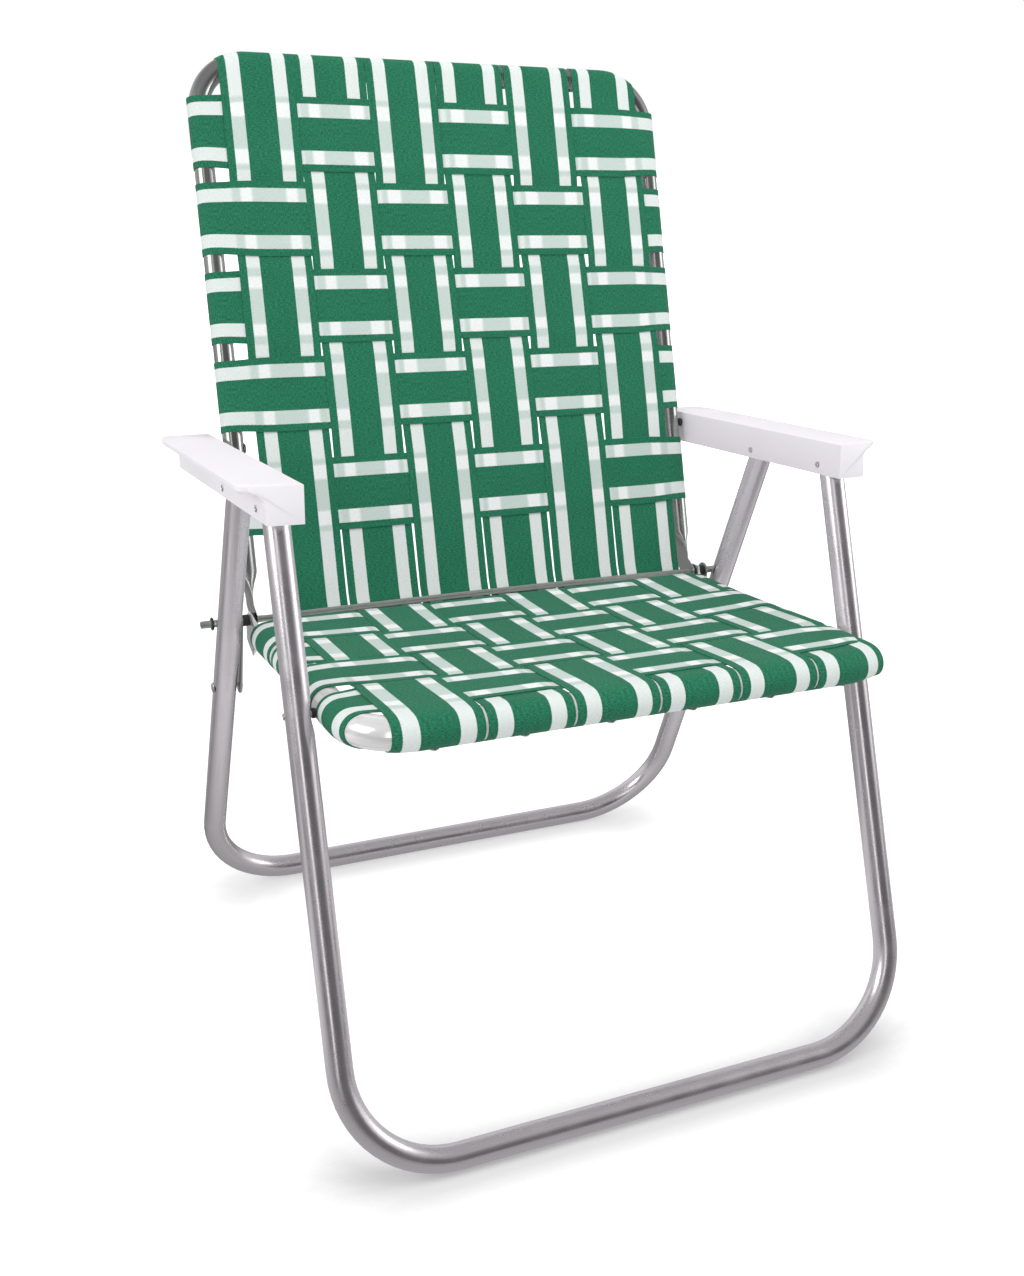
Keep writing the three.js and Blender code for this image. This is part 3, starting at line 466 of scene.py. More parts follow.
seat_tube = open_ring("seat_tube", seat_radius, (-seat_x, seat_straight, 0))
u_bend(seat_x, seat_bend, seat_straight - seat_bend)
pressed_end(seat_press, seat_x, seat_end_x - seat_x, 0)
first_ring_again(seat_straight, -1)
pressed_end(seat_press, -seat_x, seat_x - seat_end_x, 0)


def trim_tips(tube):
    bpy.ops.object.mode_set(mode="EDIT")
    bpy.ops.mesh.select_mode(type="EDGE")
    for normal, point in (((0, 1, 0.9), (0, 0.373, 0.0155)), ((0, 0.62, -1), (0, 0.366, -0.0145))):
        bpy.ops.mesh.select_all(action="SELECT")
        bpy.ops.mesh.bisect(plane_co=point, plane_no=normal, clear_outer=True)
    bpy.ops.mesh.select_mode(type="VERT")
    bpy.ops.object.mode_set(mode="OBJECT")


def spread_rails(tube):
    for vertex in tube.data.vertices:
        x, a, b = vertex.co
        vertex.co = (x * seat_spread(a), a, b + seat_rise(a))


polished = drawn_aluminium("polished_seat_tube", (0.99, 0.985, 0.96), 0.12, 0.5, 0.66, 260)
finish_tube(seat_tube, seat_x, seat_bend, seat_wall, seat_lean, *seat_front, polished,
            [trim_tips, spread_rails])
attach(seat_tube, "seat")
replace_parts(seat_tube, "seat_frame")
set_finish(seat_tube, "polished_aluminium")

# Back frame: a tall U of 22 mm tube, open at the bottom. Its lower ends are pressed into
# flat blades that hang on the cross rod.
back_radius = 0.0111
back_x = frame_half_width - back_radius
back_bend = 0.056
back_tilt = math.radians(20.4)
back_lean = math.pi / 2 - back_tilt
rod_place = (0.4426 + floor_y, 0.394)
back_up = Vector((0, math.sin(back_tilt), math.cos(back_tilt)))
back_front = Vector((0, -math.cos(back_tilt), math.sin(back_tilt)))
before_rod = 0.019
back_foot = Vector((0, *rod_place)) - back_front * before_rod
back_top = 0.604
back_straight = 0.552
blade_shift = -0.0105
back_press = [
    (back_straight, 1, 1, 0), (0.558, 0.86, 1.09, 0), (0.564, 0.62, 1.2, 0), (0.5745, 0.26, 1.4, 0),
    (0.582, 0.126, 1.457, 0), (0.588, 0.126, 1.457, 0), (0.600, 0.126, 1.567, 1),
    (0.6053, 0.126, 1.567, 1), (0.6098, 0.126, 1.42, 1), (0.6128, 0.126, 1.15, 1),
    (0.6153, 0.126, 0.8, 1)]
back_tube = open_ring("back_tube", back_radius, (-back_x, back_straight, 0))
u_bend(back_x, back_bend, back_straight - back_bend)
pressed_end(back_press, back_x, 0, blade_shift)
bpy.ops.mesh.edge_face_add()
first_ring_again(back_straight, -1)
pressed_end(back_press, -back_x, 0, blade_shift)
bpy.ops.mesh.edge_face_add()
top_place = back_foot + back_up * back_top
# Painted shade: the back tube, the same aluminium as the legs, gets a darker copy of the finish with a
# green cast from the webbing around it
shaded_back_finish = drawn_aluminium("shaded_back_tube", (0.40, 0.43, 0.41), 0.2)
finish_tube(back_tube, back_x, back_bend, 0, back_lean + math.pi, top_place.y, top_place.z, shaded_back_finish)
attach(back_tube, "back")
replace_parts(back_tube, "back_frame")
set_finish(back_tube, "polished_aluminium")

# Cross rod: a zinc plated steel rod across the chair, thicker at its ends. It bows up a little
# between the hinges, and its ends stop the rear legs.
rod_half = 0.334
rod_radius = 0.004
rod_steps = [0.0595, 0.003, 0.0095] + [0.0262] * 20 + [0.0095, 0.003, 0.0595]
thick_from, thinned, bowed_up = 0.2735, 0.125, 0.002


def plated(name, tint, rough):
    metal, tree, place = new_finish(name)
    clouds = speckle(tree, place, 160, 5)
    dress_skin(tree, {
        "Metallic": 1.0,
        "Roughness": ranged(tree, clouds, 0, 1, rough - 0.1, rough + 0.1),
        "Base Color": between(tree, (*[c * 0.8 for c in tint], 1),
                              (*[min(1, c * 1.12) for c in tint], 1), clouds)}, clouds, 0.15)
    return metal


zinc = plated("zinc_plate", (0.50, 0.56, 0.51), 0.36)
rivet_steel = plated("rivet_steel", (0.66, 0.66, 0.67), 0.28)
bpy.ops.object.select_all(action="DESELECT")
bpy.ops.mesh.primitive_circle_add(
    vertices=24, radius=rod_radius, location=(-rod_half, *rod_place), rotation=(0, math.pi / 2, 0))
rod = bpy.context.object
rod.name = "hinge_rod"
edit_all()
bpy.ops.mesh.extrude_region_move(TRANSFORM_OT_translate={"value": (-0.0001, 0, 0)})
bpy.ops.transform.resize(value=(1, 0.55, 0.55), center_override=(-rod_half, *rod_place))
bpy.ops.mesh.extrude_region_move(TRANSFORM_OT_translate={"value": (0.006, 0, 0)})
bpy.ops.mesh.edge_face_add()
bpy.ops.mesh.select_all(action="DESELECT")
bpy.ops.object.mode_set(mode="OBJECT")
outer = sorted(rod.data.vertices, key=lambda v: -(Vector(v.co[:2]).length))[:24]
for vertex in outer:
    vertex.select = True
for edge in rod.data.edges:
    edge.select = all(rod.data.vertices[v].select for v in edge.vertices)
bpy.ops.object.mode_set(mode="EDIT")
for step in rod_steps:
    draw_on((step, 0, 0))
bpy.ops.mesh.edge_face_add()
turn_outwards()
bpy.ops.object.transform_apply()
for vertex in rod.data.vertices:
    x, y, z = vertex.co
    slimmer = 1 - thinned * min(1, max(0, (thick_from - abs(x)) / 0.006))
    bow = bowed_up * max(0, 1 - (x / 0.262) ** 2)
    vertex.co.y = rod_place[0] + (y - rod_place[0]) * slimmer
    vertex.co.z = rod_place[1] + (z - rod_place[1]) * slimmer + bow
bpy.ops.object.shade_smooth_by_angle(angle=math.radians(35))
rod.data.materials.append(zinc)
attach(rod, "seat")
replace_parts(rod, "cross_rod")
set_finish(rod, "zinc")

# Washers and spacers on the rod: black nylon rings between blade, seat end and link, and a
# push-on washer outside each rear leg.
rod_hole = 0.0043
nylon, tree, place = new_finish("black_nylon")
grain = speckle(tree, place, 900)
dress_skin(tree, {
    "Roughness": ranged(tree, grain, 0, 1, 0.42, 0.62),
    "Base Color": between(tree, (0.010, 0.011, 0.012, 1), (0.028, 0.029, 0.03, 1), grain)})


def set_up(name, mesh):
    """A piece made from a mesh, alone selected and active."""
    piece = bpy.data.objects.new(name, mesh)
    bpy.context.scene.collection.objects.link(piece)
    bpy.ops.object.select_all(action="DESELECT")
    piece.select_set(True)
    bpy.context.view_layer.objects.active = piece
    return piece


def turned(name, profile, y, z, look, sides=28, closed=False):
    """A round piece about a line along X: its half outline of (x, radius) spun once round."""
    points = [(x, y + r, z) for x, r in profile]
    edges = [(i, i + 1) for i in range(len(points) - 1)]
    if closed:
        edges.append((len(points) - 1, 0))
    mesh = bpy.data.meshes.new(name)
    mesh.from_pydata(points, edges, [])
    piece = set_up(name, mesh)
    edit_all()
    bpy.ops.mesh.spin(steps=sides, angle=2 * math.pi, center=(0, y, z), axis=(1, 0, 0))
    bpy.ops.mesh.select_all(action="SELECT")
    bpy.ops.mesh.remove_doubles(threshold=0.00002)
    turn_outwards()
    bpy.ops.object.shade_smooth_by_angle(angle=math.radians(40))
    mesh.materials.append(look)
    return piece


def other_side(piece, name):
    """The same piece on the chair's other side."""
    twin = piece.copy()
    twin.data = piece.data.copy()
    twin.name = name
    bpy.context.scene.collection.objects.link(twin)
    twin.parent = None
    twin.matrix_world = Matrix.Identity(4)
    twin.data.transform(Matrix.Scale(-1, 4, Vector((1, 0, 0))))
    twin.data.flip_normals()
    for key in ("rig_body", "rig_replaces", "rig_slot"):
        if key in twin:
            del twin[key]
    return twin


def fit_pair(right, body, node, slot):
    """Both sides ride on a body and stand for the two CAD nodes of that name."""
    name = right.name
    right.name = name + "_right"
    for piece, side in ((other_side(right, name + "_left"), "_left"), (right, "_right")):
        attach(piece, body)
        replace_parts(piece, node + side)
        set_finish(piece, slot)


def washer(name, low, high, outer):
    edge = min(0.0004, (high - low) / 4)
    outline = [(low, rod_hole), (low, outer - edge), (low + edge, outer), (high - edge, outer),
               (high, outer - edge), (high, rod_hole)]
    return turned(name, outline, *rod_place, nylon, closed=True)


fit_pair(washer("hinge_washer_ring", 0.27605, 0.27865, 0.0075), "seat", "hinge_washer", "black_nylon")
fit_pair(washer("link_spacer_ring", 0.2821, 0.2902, 0.0062), "seat", "link_spacer", "black_nylon")
fit_pair(washer("rod_end_ring", 0.321, 0.3228, 0.007), "seat", "rod_end_washer", "black_nylon")

# Links: flat zinc plated strips with round ends, from the cross rod down to the rear legs.
link_pivot = (0.45, 0.316)
link_x, link_thick, link_radius = 0.2905, 0.0025, 0.0095
link_top = Vector((link_x, *rod_place))
to_foot = Vector((0, link_pivot[0] + floor_y - rod_place[0], link_pivot[1] - rod_place[1]))
bpy.ops.object.select_all(action="DESELECT")
bpy.ops.mesh.primitive_circle_add(
    vertices=32, radius=link_radius, fill_type="NGON", location=link_top,
    rotation=(0, math.pi / 2, 0))
strip = bpy.context.object
strip.name = "rod_link"
bpy.ops.object.transform_apply()
for vertex in strip.data.vertices:
    if (vertex.co - link_top).dot(to_foot) > 0.00001:
        vertex.co += to_foot
edit_all()
draw_on((link_thick, 0, 0))
turn_outwards()
finish_with(strip, "BEVEL", width=0.0005, segments=2, limit_method="ANGLE")
bpy.ops.object.shade_smooth_by_angle(angle=math.radians(35))
strip.data.materials.append(zinc)
fit_pair(strip, "links", "link", "zinc")

# Rivets and bushes: bright rivets through every pivot, domed or with a rolled rim, and black
# bushes between moving parts.
shank_radius = 0.0029


def dome_head(x, way, head=0.0058, dome=0.002):
    profile = [(1, 0), (0.93, 0.42), (0.7, 0.74), (0.34, 0.95)]
    return [(x + way * dome * out, head * r) for out, r in profile] + [(x + way * 0.0003, head), (x, head)]


def rolled_head(x, way):
    """The small end of a hollow rivet: a rolled rim round a dark hole."""
    return [(x - way * 0.0016, 0), (x - way * 0.0016, 0.0012), (x + way * 0.0003, 0.0014),
            (x + way * 0.0009, 0.0020), (x + way * 0.0007, 0.0030), (x, 0.0034)]


def rivet(name, low, high, y, z, heads="both", end=dome_head):
    outline = end(low, -1) if heads in ("both", "low") else [(low, 0)]
    outline += [(low, shank_radius), (high, shank_radius)]
    outline += end(high, 1)[::-1] if heads in ("both", "high") else [(high, 0)]
    return turned(name, outline, y + floor_y, z, rivet_steel)


def bush(name, low, high, y, z):
    outline = [(low, 0.0032), (low, 0.0045), (low + 0.0004, 0.0049), (high - 0.0004, 0.0049),
               (high, 0.0045), (high, 0.0032)]
    return turned(name, outline, y + floor_y, z, nylon, closed=True)


back_arm_place = back_foot + back_up * 0.186
back_arm_pivot = (back_arm_place.y - floor_y, back_arm_place.z)
through_arm = (0.2908, 0.3252)
fit_pair(rivet("seat_rivet", 0.259, 0.3208, *seat_pivot, end=rolled_head), "front_frame",
         "seat_pivot_rivet", "steel")
fit_pair(bush("seat_bush", 0.2915, 0.295, *seat_pivot), "front_frame", "seat_pivot_bush",
         "black_nylon")
fit_pair(rivet("front_arm_rivet", *through_arm, *arm_front_pivot, end=rolled_head), "arms",
         "arm_front_rivet", "steel")
fit_pair(rivet("rear_arm_rivet", *through_arm, *arm_rear_pivot, end=rolled_head), "arms",
         "arm_rear_rivet", "steel")
fit_pair(rivet("back_rivet", 0.2629, 0.2906, *back_arm_pivot, "low"), "back", "back_arm_rivet",
         "steel")
fit_pair(bush("back_bush", 0.2857, 0.2904, *back_arm_pivot), "back", "back_arm_bush", "black_nylon")
fit_pair(rivet("arm_inner_rivet", 0.291, 0.2942, *back_arm_pivot, "high"), "arms",
         "arm_pivot_head", "steel")
fit_pair(rivet("leg_link_rivet", 0.2933, 0.3209, *link_pivot, "high"), "rear_frame", "link_rivet",
         "steel")
fit_pair(rivet("link_inner_rivet", 0.2903, 0.293, *link_pivot, "low"), "links", "link_rivet_head",
         "steel")

# Arm rests: moulded white plastic, a channel open underneath that hides the leg ends, with a
# flat top plate that hangs over on the outside above a hollow curve.
arm_slope = math.radians(-7.12)
arm_front, arm_rear = -0.039, 0.329
arm_low, arm_high = -0.010, 0.0258
arm_inner, arm_outer, arm_edge = 0.291, 0.325, 0.348
arm_wall, arm_top_wall = 0.003, 0.0036
hang, hollow, lip = 0.0195, 0.0115, 0.0185
front_edge, front_corner = 0.013, 0.010
rear_taper, rear_corner = 0.04, 0.008

plastic, tree, place = new_finish("white_plastic")
grain = speckle(tree, place, 1400)
smear = speckle(tree, place, 14, 5)
dress_skin(tree, {
    "Specular IOR Level": 0.4,
    "Roughness": ranged(tree, smear, 0, 1, 0.36, 0.56),
    "Base Color": between(tree, (0.735, 0.712, 0.74, 1), (0.785, 0.766, 0.79, 1), smear)}, grain)


def arm_outline():
    points = [(arm_inner, arm_low), (arm_outer, arm_low), (arm_outer, arm_high - lip)]
    for i in range(1, 7):
        turn = math.pi / 2 * i / 6
        points.append((arm_outer + hang * (1 - math.cos(turn)),
                       arm_high - lip + hollow * math.sin(turn)))
    return points + [(arm_edge, arm_high - 0.0048), (arm_edge, arm_high), (arm_inner, arm_high)]


def round_off(corner, along):
    """How far a round corner draws an edge in, at a place along it from its end."""
    return corner - math.sqrt(max(0, corner ** 2 - (corner - along) ** 2))


def arm_reach(s):
    """How far the top plate reaches outwards at a place along the arm."""
    from_front = s - (arm_front + front_edge)
    reach = arm_edge
    if from_front < front_corner:
        reach -= round_off(front_corner, max(0, from_front))
    to_rear = arm_rear - s
    if to_rear < rear_taper:
        reach -= 0.007 * ((rear_taper - to_rear) / rear_taper) ** 2
    if to_rear < rear_corner:
        reach -= round_off(rear_corner, to_rear)
    return reach


def front_set_back(x, h):
    share = (x - arm_inner) / (arm_edge - arm_inner)
    return share * (0.004 + 0.009 * (h - arm_low) / (arm_high - arm_low))


outline = arm_outline()
stations = [arm_front + s for s in (0, front_edge, 0.0145, 0.017, 0.020, 0.023)]
stations += [0.02, 0.08, 0.14, 0.20, 0.25, 0.289, 0.303, 0.314, 0.3215, 0.3245, 0.327, 0.3285, arm_rear]
mesh = bpy.data.meshes.new("arm_rest")
mesh.from_pydata([(x, stations[0], h) for x, h in outline], [], [tuple(range(len(outline)))])
arm = set_up("arm_rest", mesh)
edit_all()
for low, high in zip(stations, stations[1:]):
    draw_on((0, high - low, 0))
turn_outwards()
for vertex in mesh.vertices:
    x, s, h = vertex.co
    reach = arm_reach(s)
    if x > arm_outer:
        x = arm_outer + (x - arm_outer) * max(0.02, (reach - arm_outer) / (arm_edge - arm_outer))
    if s < arm_front + 0.001:
        s = arm_front + front_set_back(x, h)
    elif s < arm_front + 0.024 and x <= arm_outer:
        s = arm_front + front_set_back(x, h) + 0.2 * (s - arm_front)
    vertex.co = (x, s, h)
channel_front = arm_front + 0.0085
bpy.ops.object.select_all(action="DESELECT")
bpy.ops.mesh.primitive_cube_add(size=1)
channel = bpy.context.object
channel.scale = (arm_outer - arm_inner - 2 * arm_wall, arm_rear - arm_wall - channel_front,
                 arm_high - arm_top_wall - arm_low + 0.004)
channel.location = ((arm_inner + arm_outer) / 2, (arm_rear - arm_wall + channel_front) / 2,
                    (arm_high - arm_top_wall + arm_low - 0.004) / 2)
bpy.ops.object.transform_apply()
bpy.ops.object.select_all(action="DESELECT")
arm.select_set(True)
bpy.context.view_layer.objects.active = arm
finish_with(arm, "BOOLEAN", operation="DIFFERENCE", object=channel)
bpy.data.objects.remove(channel, do_unlink=True)
finish_with(arm, "BEVEL", width=0.0016, segments=3, limit_method="ANGLE",
            angle_limit=math.radians(38))
arm.rotation_euler = (arm_slope, 0, 0)
arm.location = (0, arm_front_pivot[0] + floor_y, arm_front_pivot[1])
bpy.ops.object.transform_apply()
bpy.ops.object.shade_smooth_by_angle(angle=math.radians(32))
arm.data.materials.append(plastic)
fit_pair(arm, "arms", "arm", "white_plastic")

# Webbing: flat woven plastic-yarn straps, green with two white stripes, about 3 inches wide.
# They are thin enough that a white stripe looks greyer where green lies behind it.
web_width = 0.081
long_web_width = 0.0832
web_thick = 0.0011
web_off_tube = 0.0009
web_tail = 0.011
web_rise = 0.0015
half_white = 0.6
seat_long, seat_half_open, back_half_open = 0.358, 0.27, 0.274
seat_dip, back_dip = 0.0065, 0.004
column_pitch = 0.0857
column_x = [(i - 2.5) * column_pitch + 0.005 for i in range(6)]
seat_rows = [0.056 + i * 0.0822 for i in range(4)]
back_rows = [0.5255, 0.4328, 0.3373, 0.2418, 0.129]
seat_over = [True, False, True, False]
back_over = [True, False, True, False, True]
seat_along = Vector((0, math.cos(seat_lean), math.sin(seat_lean)))
seat_up = Vector((0, -math.sin(seat_lean), math.cos(seat_lean)))
seat_origin = Vector((0, *seat_front))
stripe_inner, stripe_outer = 0.0181, 0.0330

webbing, tree, place = new_finish("striped_webbing")
on_web = add_node(tree, "UVMap", {}, uv_map="webbing")
across = add_node(tree, "SeparateXYZ", {0: on_web}, "X")
along = add_node(tree, "SeparateXYZ", {0: on_web}, "Y")
wander = number(tree, "MULTIPLY_ADD", speckle(tree, on_web, (500, 900, 1)), 0.0012, -0.0006)
from_middle = number(tree, "ADD", number(tree, "ABSOLUTE", across), wander)
is_white = number(tree, "MULTIPLY", *[
    ranged(tree, from_middle, edge - blur, edge + blur, interpolation_type="SMOOTHSTEP")
    for edge, blur in ((stripe_inner, 0.0003), (stripe_outer, -0.0003))])
warp = number(tree, "SINE", number(tree, "MULTIPLY", across, 2 * math.pi / 0.0016))
weft = number(tree, "SINE", number(tree, "MULTIPLY", along, 2 * math.pi / 0.0019))
cross = number(tree, "MULTIPLY", warp, weft)
yarn = speckle(tree, on_web, (1300, 500, 1), 3)
fade = speckle(tree, place, 22)
green = between(tree, (0.007, 0.12, 0.060, 1), (0.016, 0.195, 0.100, 1), number(
    tree, "MULTIPLY_ADD", yarn, 0.6, number(tree, "MULTIPLY", fade, 0.4)))
backing = add_node(tree, "Attribute", {}, "Fac", attribute_name="white_behind")
white = between(tree, (0.50, 0.60, 0.555, 1), (0.83, 0.845, 0.84, 1), number(
    tree, "MULTIPLY_ADD", backing, 0.8, number(tree, "MULTIPLY", yarn, 0.14)))
colour = between(tree, green, white, is_white)
# Painted shade: the weave's hollows, where warp and weft dip, are darkened
hollow_shade_painted = ranged(tree, cross, -1, 1, 0.82, 1.08)
specks = ranged(tree, speckle(tree, on_web, (330, 1250, 1)), 0.38, 0.62, -0.36, 0.36)
calm = number(tree, "MULTIPLY_ADD", is_white, -0.85, 1)
uneven = number(tree, "MULTIPLY_ADD", specks, calm, 1)
# The colour with its random specks and the painted shade of the weave's hollows
speckled_with_painted_hollows = between(tree, colour, number(tree, "MULTIPLY", hollow_shade_painted, uneven), 1, blend_type="MULTIPLY")
# The tubes and arm rests of the photograph carry no green cast: they meet the webbing as grey
to_camera = tree.nodes.new("ShaderNodeLightPath").outputs["Is Camera Ray"]
dress_skin(tree, {
    "Base Color": between(tree, (0.50, 0.49, 0.50, 1), speckled_with_painted_hollows, to_camera),
    "Roughness": 0.62, "Specular IOR Level": 0.2, "Sheen Weight": 0.03},
    number(tree, "MULTIPLY_ADD", yarn, 0.5, cross), 0.45, 0.0003)


def even_path(points, spacing=0.0032, soften=2):
    """The same line at even spacing, its corners eased, with the length at each point."""
    points = np.array(points, float)
    lengths = np.concatenate([[0], np.cumsum(np.linalg.norm(np.diff(points, axis=0), axis=1))])
    count = max(8, int(round(lengths[-1] / spacing)))
    places = np.linspace(0, lengths[-1], count + 1)
    line = np.stack([np.interp(places, lengths, points[:, k]) for k in range(points.shape[1])], 1)
    for _ in range(soften):
        line[1:-1] = 0.25 * line[:-2] + 0.5 * line[1:-1] + 0.25 * line[2:]
    lengths = np.concatenate([[0], np.cumsum(np.linalg.norm(np.diff(line, axis=0), axis=1))])
    return line, lengths


def wrap_round(a, radius, start, end, steps=16):
    return [(a + radius * math.cos(math.radians(start + (end - start) * i / steps)),
             radius * math.sin(math.radians(start + (end - start) * i / steps)))
            for i in range(steps + 1)]


def woven(places, overs, level, ease=0.0):
    """Heights of a strap that passes over and under the crossing straps in turn."""
    points = []
    for place, over in zip(places, overs):
        height = level + (web_rise if over else 0)
        points += [(place - web_width / 2 - ease, height), (place + web_width / 2 + ease, height)]
    return points


def seat_sag(x, a):
    if not 0 < a < seat_long:
        return 0
    across = max(0, 1 - (abs(x) / seat_half_open) ** 2.4)
    return -seat_dip * math.sin(math.pi * a / seat_long) ** 0.8 * across


def back_sag(x, a):
    if not 0 < a < back_top:
        return 0
    across = max(0, 1 - (abs(x) / back_half_open) ** 2.4)
    return -back_dip * math.sin(math.pi * a / back_top) * across


def is_white_at(offset):
    return 1.0 if stripe_inner < abs(offset) < stripe_outer else 0.0


def lay_strap(name, line, lengths, width, point_at, behind_at):
    """A strap as a fine grid on its line; point_at gives a place, behind_at what lies under it."""
    count = len(line)
    bpy.ops.object.select_all(action="DESELECT")
    bpy.ops.mesh.primitive_grid_add(x_subdivisions=14, y_subdivisions=count - 1, size=1)
    strap = bpy.context.object
    strap.name = name
    mesh = strap.data
    uv_layer = mesh.uv_layers.new(name="webbing")
    behind = mesh.attributes.new("white_behind", "FLOAT", "POINT")
    places = []
    for vertex in mesh.vertices:
        step = int(round((vertex.co.y + 0.5) * (count - 1)))
        offset = vertex.co.x * width
        places.append((offset, lengths[step]))
        behind.data[vertex.index].value = behind_at(step, offset)
        vertex.co = point_at(step, offset)
    for loop in mesh.loops:
        uv_layer.data[loop.index].uv = places[loop.vertex_index]
    for layer in list(mesh.uv_layers):
        if layer.name != "webbing":
            mesh.uv_layers.remove(layer)
    finish_with(strap, "SOLIDIFY", thickness=web_thick, offset=0)
    bpy.ops.object.shade_smooth_by_angle(angle=math.radians(50))
    mesh.materials.append(webbing)
    return strap


# Cross straps of the seat: four straps wrapped round the side rails and fixed beneath.
# Their ends draw in a little, most of all the first, which passes the pivot rivets.
def cross_strap(name, row, overs, tube_x, tube_r, bend, origin, along, up, sag, tuck, on_seat):
    """A strap across two side tubes. Its ends narrow by tuck[0] and move on by tuck[1]."""
    level = tube_r + web_off_tube
    line = [(-tube_x + web_tail, -level)]
    line += wrap_round(-tube_x, level, 270, 90)
    line += woven(column_x, overs, level, 0.0003)
    line += wrap_round(tube_x, level, 90, -90)
    line += [(tube_x - web_tail, -level)]
    line, lengths = even_path(line)

    def point_at(step, offset):
        x, height = line[step]
        near_end = ease_in(abs(x), 0.225, tube_x + 0.006)
        if height < 0:
            near_end = 1
        offset = offset * (1 - tuck[0] * near_end) + tuck[1] * near_end
        before_bend = bend - (row + offset)
        if before_bend > 0:
            round_by = bend + max(0, abs(x) - tube_x)
            x -= math.copysign((round_by - math.sqrt(round_by ** 2 - before_bend ** 2)) * near_end, x)
        if height > 0:
            height += sag(x, row + offset)
        if on_seat:
            x *= seat_spread(row + offset)
            height += seat_rise(row + offset)
        return origin + Vector((x, 0, 0)) + along * (row + offset) + up * height

    def behind_at(step, offset):
        x, height = line[step]
        nearest = min(column_x, key=lambda c: abs(c - x))
        if abs(x - nearest) > web_width / 2 or height < tube_r * 0.9:
            return half_white
        return is_white_at(x - nearest)

    strap = lay_strap(name, line, lengths, web_width, point_at, behind_at)
    return strap, lengths[-1]


odd_over = [c % 2 == 1 for c in range(6)]
even_over = [c % 2 == 0 for c in range(6)]
seat_tucks = [(0.24, -0.0035), (0.10, 0.0015), (0.10, 0), (0.10, 0)]
for i, (row, tuck) in enumerate(zip(seat_rows, seat_tucks)):
    strap, length = cross_strap(
        f"seat_cross_web_{i + 1}", row, odd_over if seat_over[i] else even_over, seat_x, seat_radius,
        seat_bend, seat_origin, seat_along, seat_up, seat_sag, tuck, True)
    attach(strap, "seat")
    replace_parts(strap, f"seat_cross_strap_{i + 1}")
    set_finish(strap, "green_webbing")

# Cross straps of the back: five straps wrapped round the side tubes and fixed behind them.
for i, row in enumerate(back_rows):
    strap, length = cross_strap(
        f"back_cross_web_{i + 1}", row, odd_over if back_over[i] else even_over, back_x, back_radius,
        0, back_foot, back_up, back_front, back_sag, (0.06, 0), False)
    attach(strap, "back")
    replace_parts(strap, f"back_cross_strap_{i + 1}")
    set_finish(strap, "green_webbing")

# Long straps: six straps that start under the front rail, run over the seat, pass under and
# behind the cross rod and go up the back, over its top tube. They fan out a little to the front,
# lean a little to one side at the top, and the last is pulled tight round the seat's corner.
fan_out, front_shift = 0.015, 0.0072
top_leans = (0.0005, 0.003, 0.005, 0.0065, 0.0055, 0.002)
pulled = (1, 1, 1, 1, 1, 0.45)
round_rod = 0.0050


def set_back(x, half_span, bend, out):
    """How far a bend's surface, out from the tube's middle, lies behind its straight part at x."""
    beyond = min(bend * 0.98, max(0, abs(x) - (half_span - bend)))
    round_by = bend + max(0, out)
    return round_by - math.sqrt(round_by ** 2 - beyond ** 2)


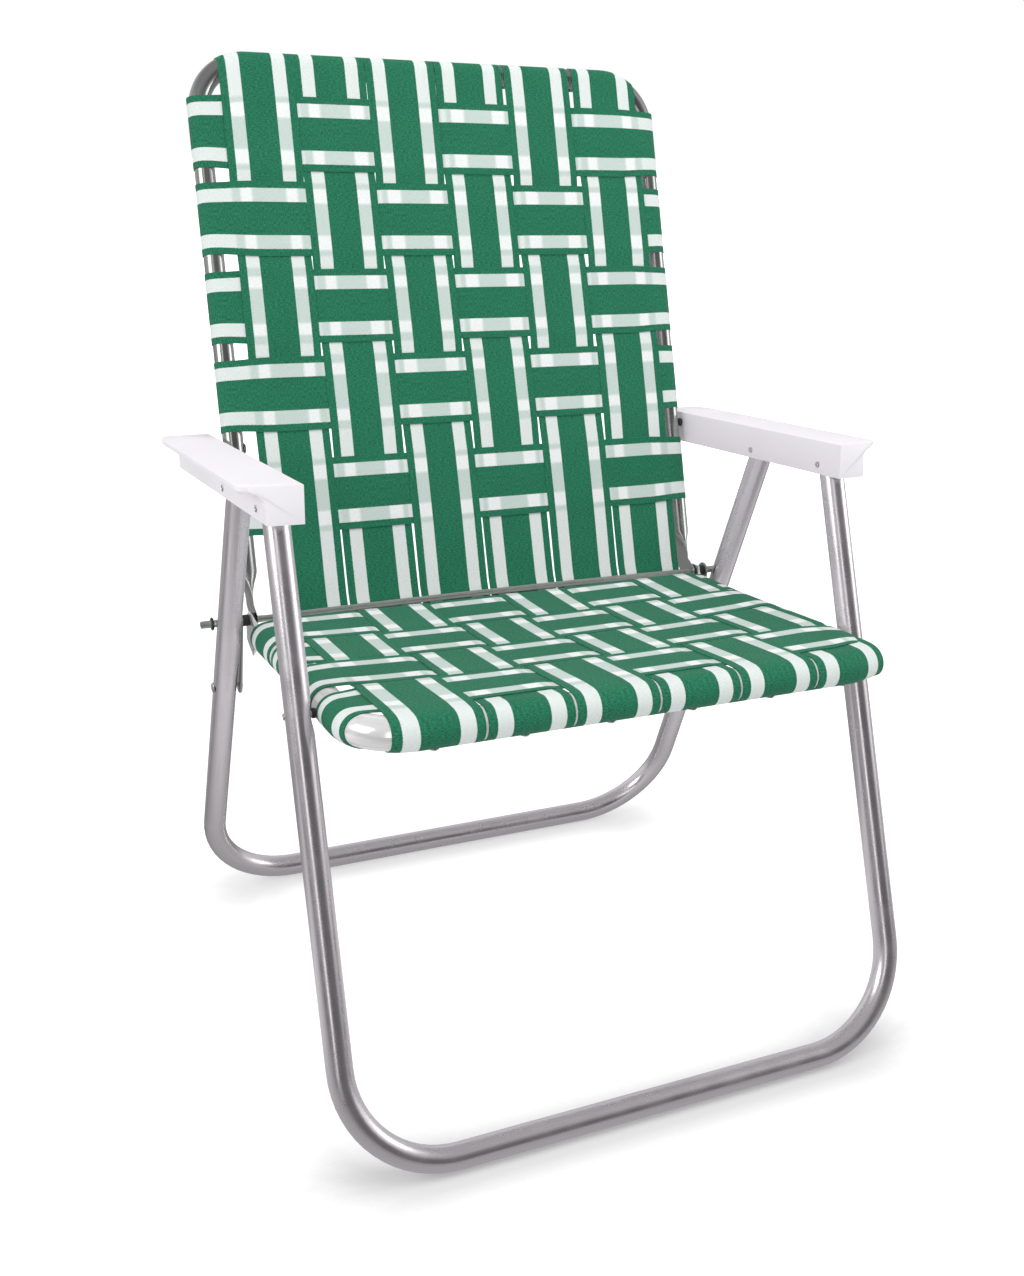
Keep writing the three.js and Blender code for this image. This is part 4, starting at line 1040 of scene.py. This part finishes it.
rod_on_seat = Vector((0, *rod_place)) - seat_origin
rod_a, rod_b = rod_on_seat.dot(seat_along), rod_on_seat.dot(seat_up)
seat_level = seat_radius + web_off_tube
back_level = back_radius + web_off_tube
for c, (x0, lean, pull) in enumerate(zip(column_x, top_leans, pulled)):
    flat_line = [(web_tail, -seat_level)] + wrap_round(0, seat_level, 270, 90)
    flat_line += woven(seat_rows, [(c % 2 == 1) != o for o in seat_over], seat_level, 0.0003)
    line = [seat_origin + seat_along * a + seat_up * b for a, b in flat_line]
    for turn in (-80, -55, -30):
        a = rod_a + round_rod * math.cos(math.radians(turn))
        b = rod_b + round_rod * math.sin(math.radians(turn))
        line.append(seat_origin + seat_along * a + seat_up * b)
    up_line = [(0.016, back_level)]
    up_line += woven(back_rows[::-1], [(c % 2 == 1) != o for o in back_over[::-1]], back_level, 0.0003)
    up_line += wrap_round(back_top, back_level, 90, -90) + [(back_top - web_tail, -back_level)]
    line += [back_foot + back_up * a + back_front * b for a, b in up_line]
    line, lengths = even_path([(p.y, p.z) for p in line])
    spots = []
    for y, z in line:
        place = Vector((0, y, z))
        on_seat = place - seat_origin
        on_back = place - back_foot
        spots.append((on_seat.dot(seat_along), on_seat.dot(seat_up), on_back.dot(back_up),
                      on_back.dot(back_front)))

    def point_at(step, offset):
        y, z = line[step]
        seat_a, seat_b, back_a, back_b = spots[step]
        forwards = ease_in(-seat_a, -rod_a, 0)
        upwards = ease_in(back_a, 0.1, back_top)
        x = (x0 + offset) * (1 + fan_out * forwards) + front_shift * forwards - lean * upwards
        place = Vector((x, y, z))
        place += seat_along * (set_back(x, seat_x, seat_bend, -seat_a)
                               * ease_in(-seat_a, -0.075, 0) * pull)
        if seat_a < rod_a and back_a < 0.02:
            place.x *= seat_spread(seat_a)
            place += seat_up * seat_rise(seat_a)
        place -= back_up * (set_back(place.x, back_x, back_bend, back_a - back_top)
                            * ease_in(back_a, back_top - 0.08, back_top))
        if seat_b > 0.011 and seat_a < rod_a and back_a < 0.02:
            place += seat_up * seat_sag(x0 + offset, seat_a)
        elif back_a > 0 and back_b > 0:
            place += back_front * back_sag(x0 + offset, back_a)
        return place

    def behind_at(step, offset):
        seat_a, seat_b, back_a, back_b = spots[step]
        for a, b, rows, near in ((seat_a, seat_b, seat_rows, seat_radius),
                                 (back_a, back_b, back_rows, back_radius)):
            row = min(rows, key=lambda r: abs(r - a))
            if abs(a - row) < web_width / 2 and abs(b - near) < 0.004:
                return is_white_at(a - row)
        return half_white

    strap = lay_strap(f"long_web_{c + 1}", line, lengths, long_web_width, point_at, behind_at)
    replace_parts(strap, f"seat_long_strap_{c + 1}", f"back_long_strap_{c + 1}")
    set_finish(strap, "green_webbing")
    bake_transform(strap)

# Webbing screws: pan-headed self-tapping screws through the strap ends into the tubes,
# under the seat rails and behind the back tubes, out of sight from the front.
screw_out = 0.0014


def webbing_screw(name, place, outwards, body):
    profile = [(0, 0.0044), (0.0006, 0.0046), (0.0014, 0.0038), (0.0019, 0.0024), (0.0021, 0)]
    screw = turned(name, [(0, 0)] + profile, 0, 0, rivet_steel, 16)
    screw.data.transform(Vector((1, 0, 0)).rotation_difference(outwards).to_matrix().to_4x4())
    screw.data.transform(Matrix.Translation(place))
    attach(screw, body)
    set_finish(screw, "steel")


for side, sign in (("left", -1), ("right", 1)):
    for i, row in enumerate(seat_rows):
        a = row + (seat_tucks[0][1] if i == 0 else 0)
        place = seat_origin + Vector((sign * seat_x * seat_spread(a), 0, 0)) + seat_along * a
        place -= seat_up * (seat_radius + screw_out - seat_rise(a))
        webbing_screw(f"seat_screw_{side}_{i + 1}", place, -seat_up, "seat")
    for i, row in enumerate(back_rows):
        place = back_foot + Vector((sign * back_x, 0, 0)) + back_up * row
        webbing_screw(f"back_screw_{side}_{i + 1}", place - back_front * (back_radius + screw_out),
                      -back_front, "back")
for c, x0 in enumerate(column_x):
    x = x0 * (1 + fan_out) * seat_spread(0) + front_shift
    back = set_back(x, seat_x, seat_bend, 0)
    webbing_screw(f"front_screw_{c + 1}", seat_origin + Vector((x, 0, 0)) + seat_along * back
                  - seat_up * (seat_radius + screw_out - seat_rise(0)), -seat_up, "seat")
    webbing_screw(f"top_screw_{c + 1}", back_foot + Vector((x0, 0, 0)) + back_up * (
        back_top - set_back(x0, back_x, back_bend, 0)) - back_front * (back_radius + screw_out),
        -back_front, "back")
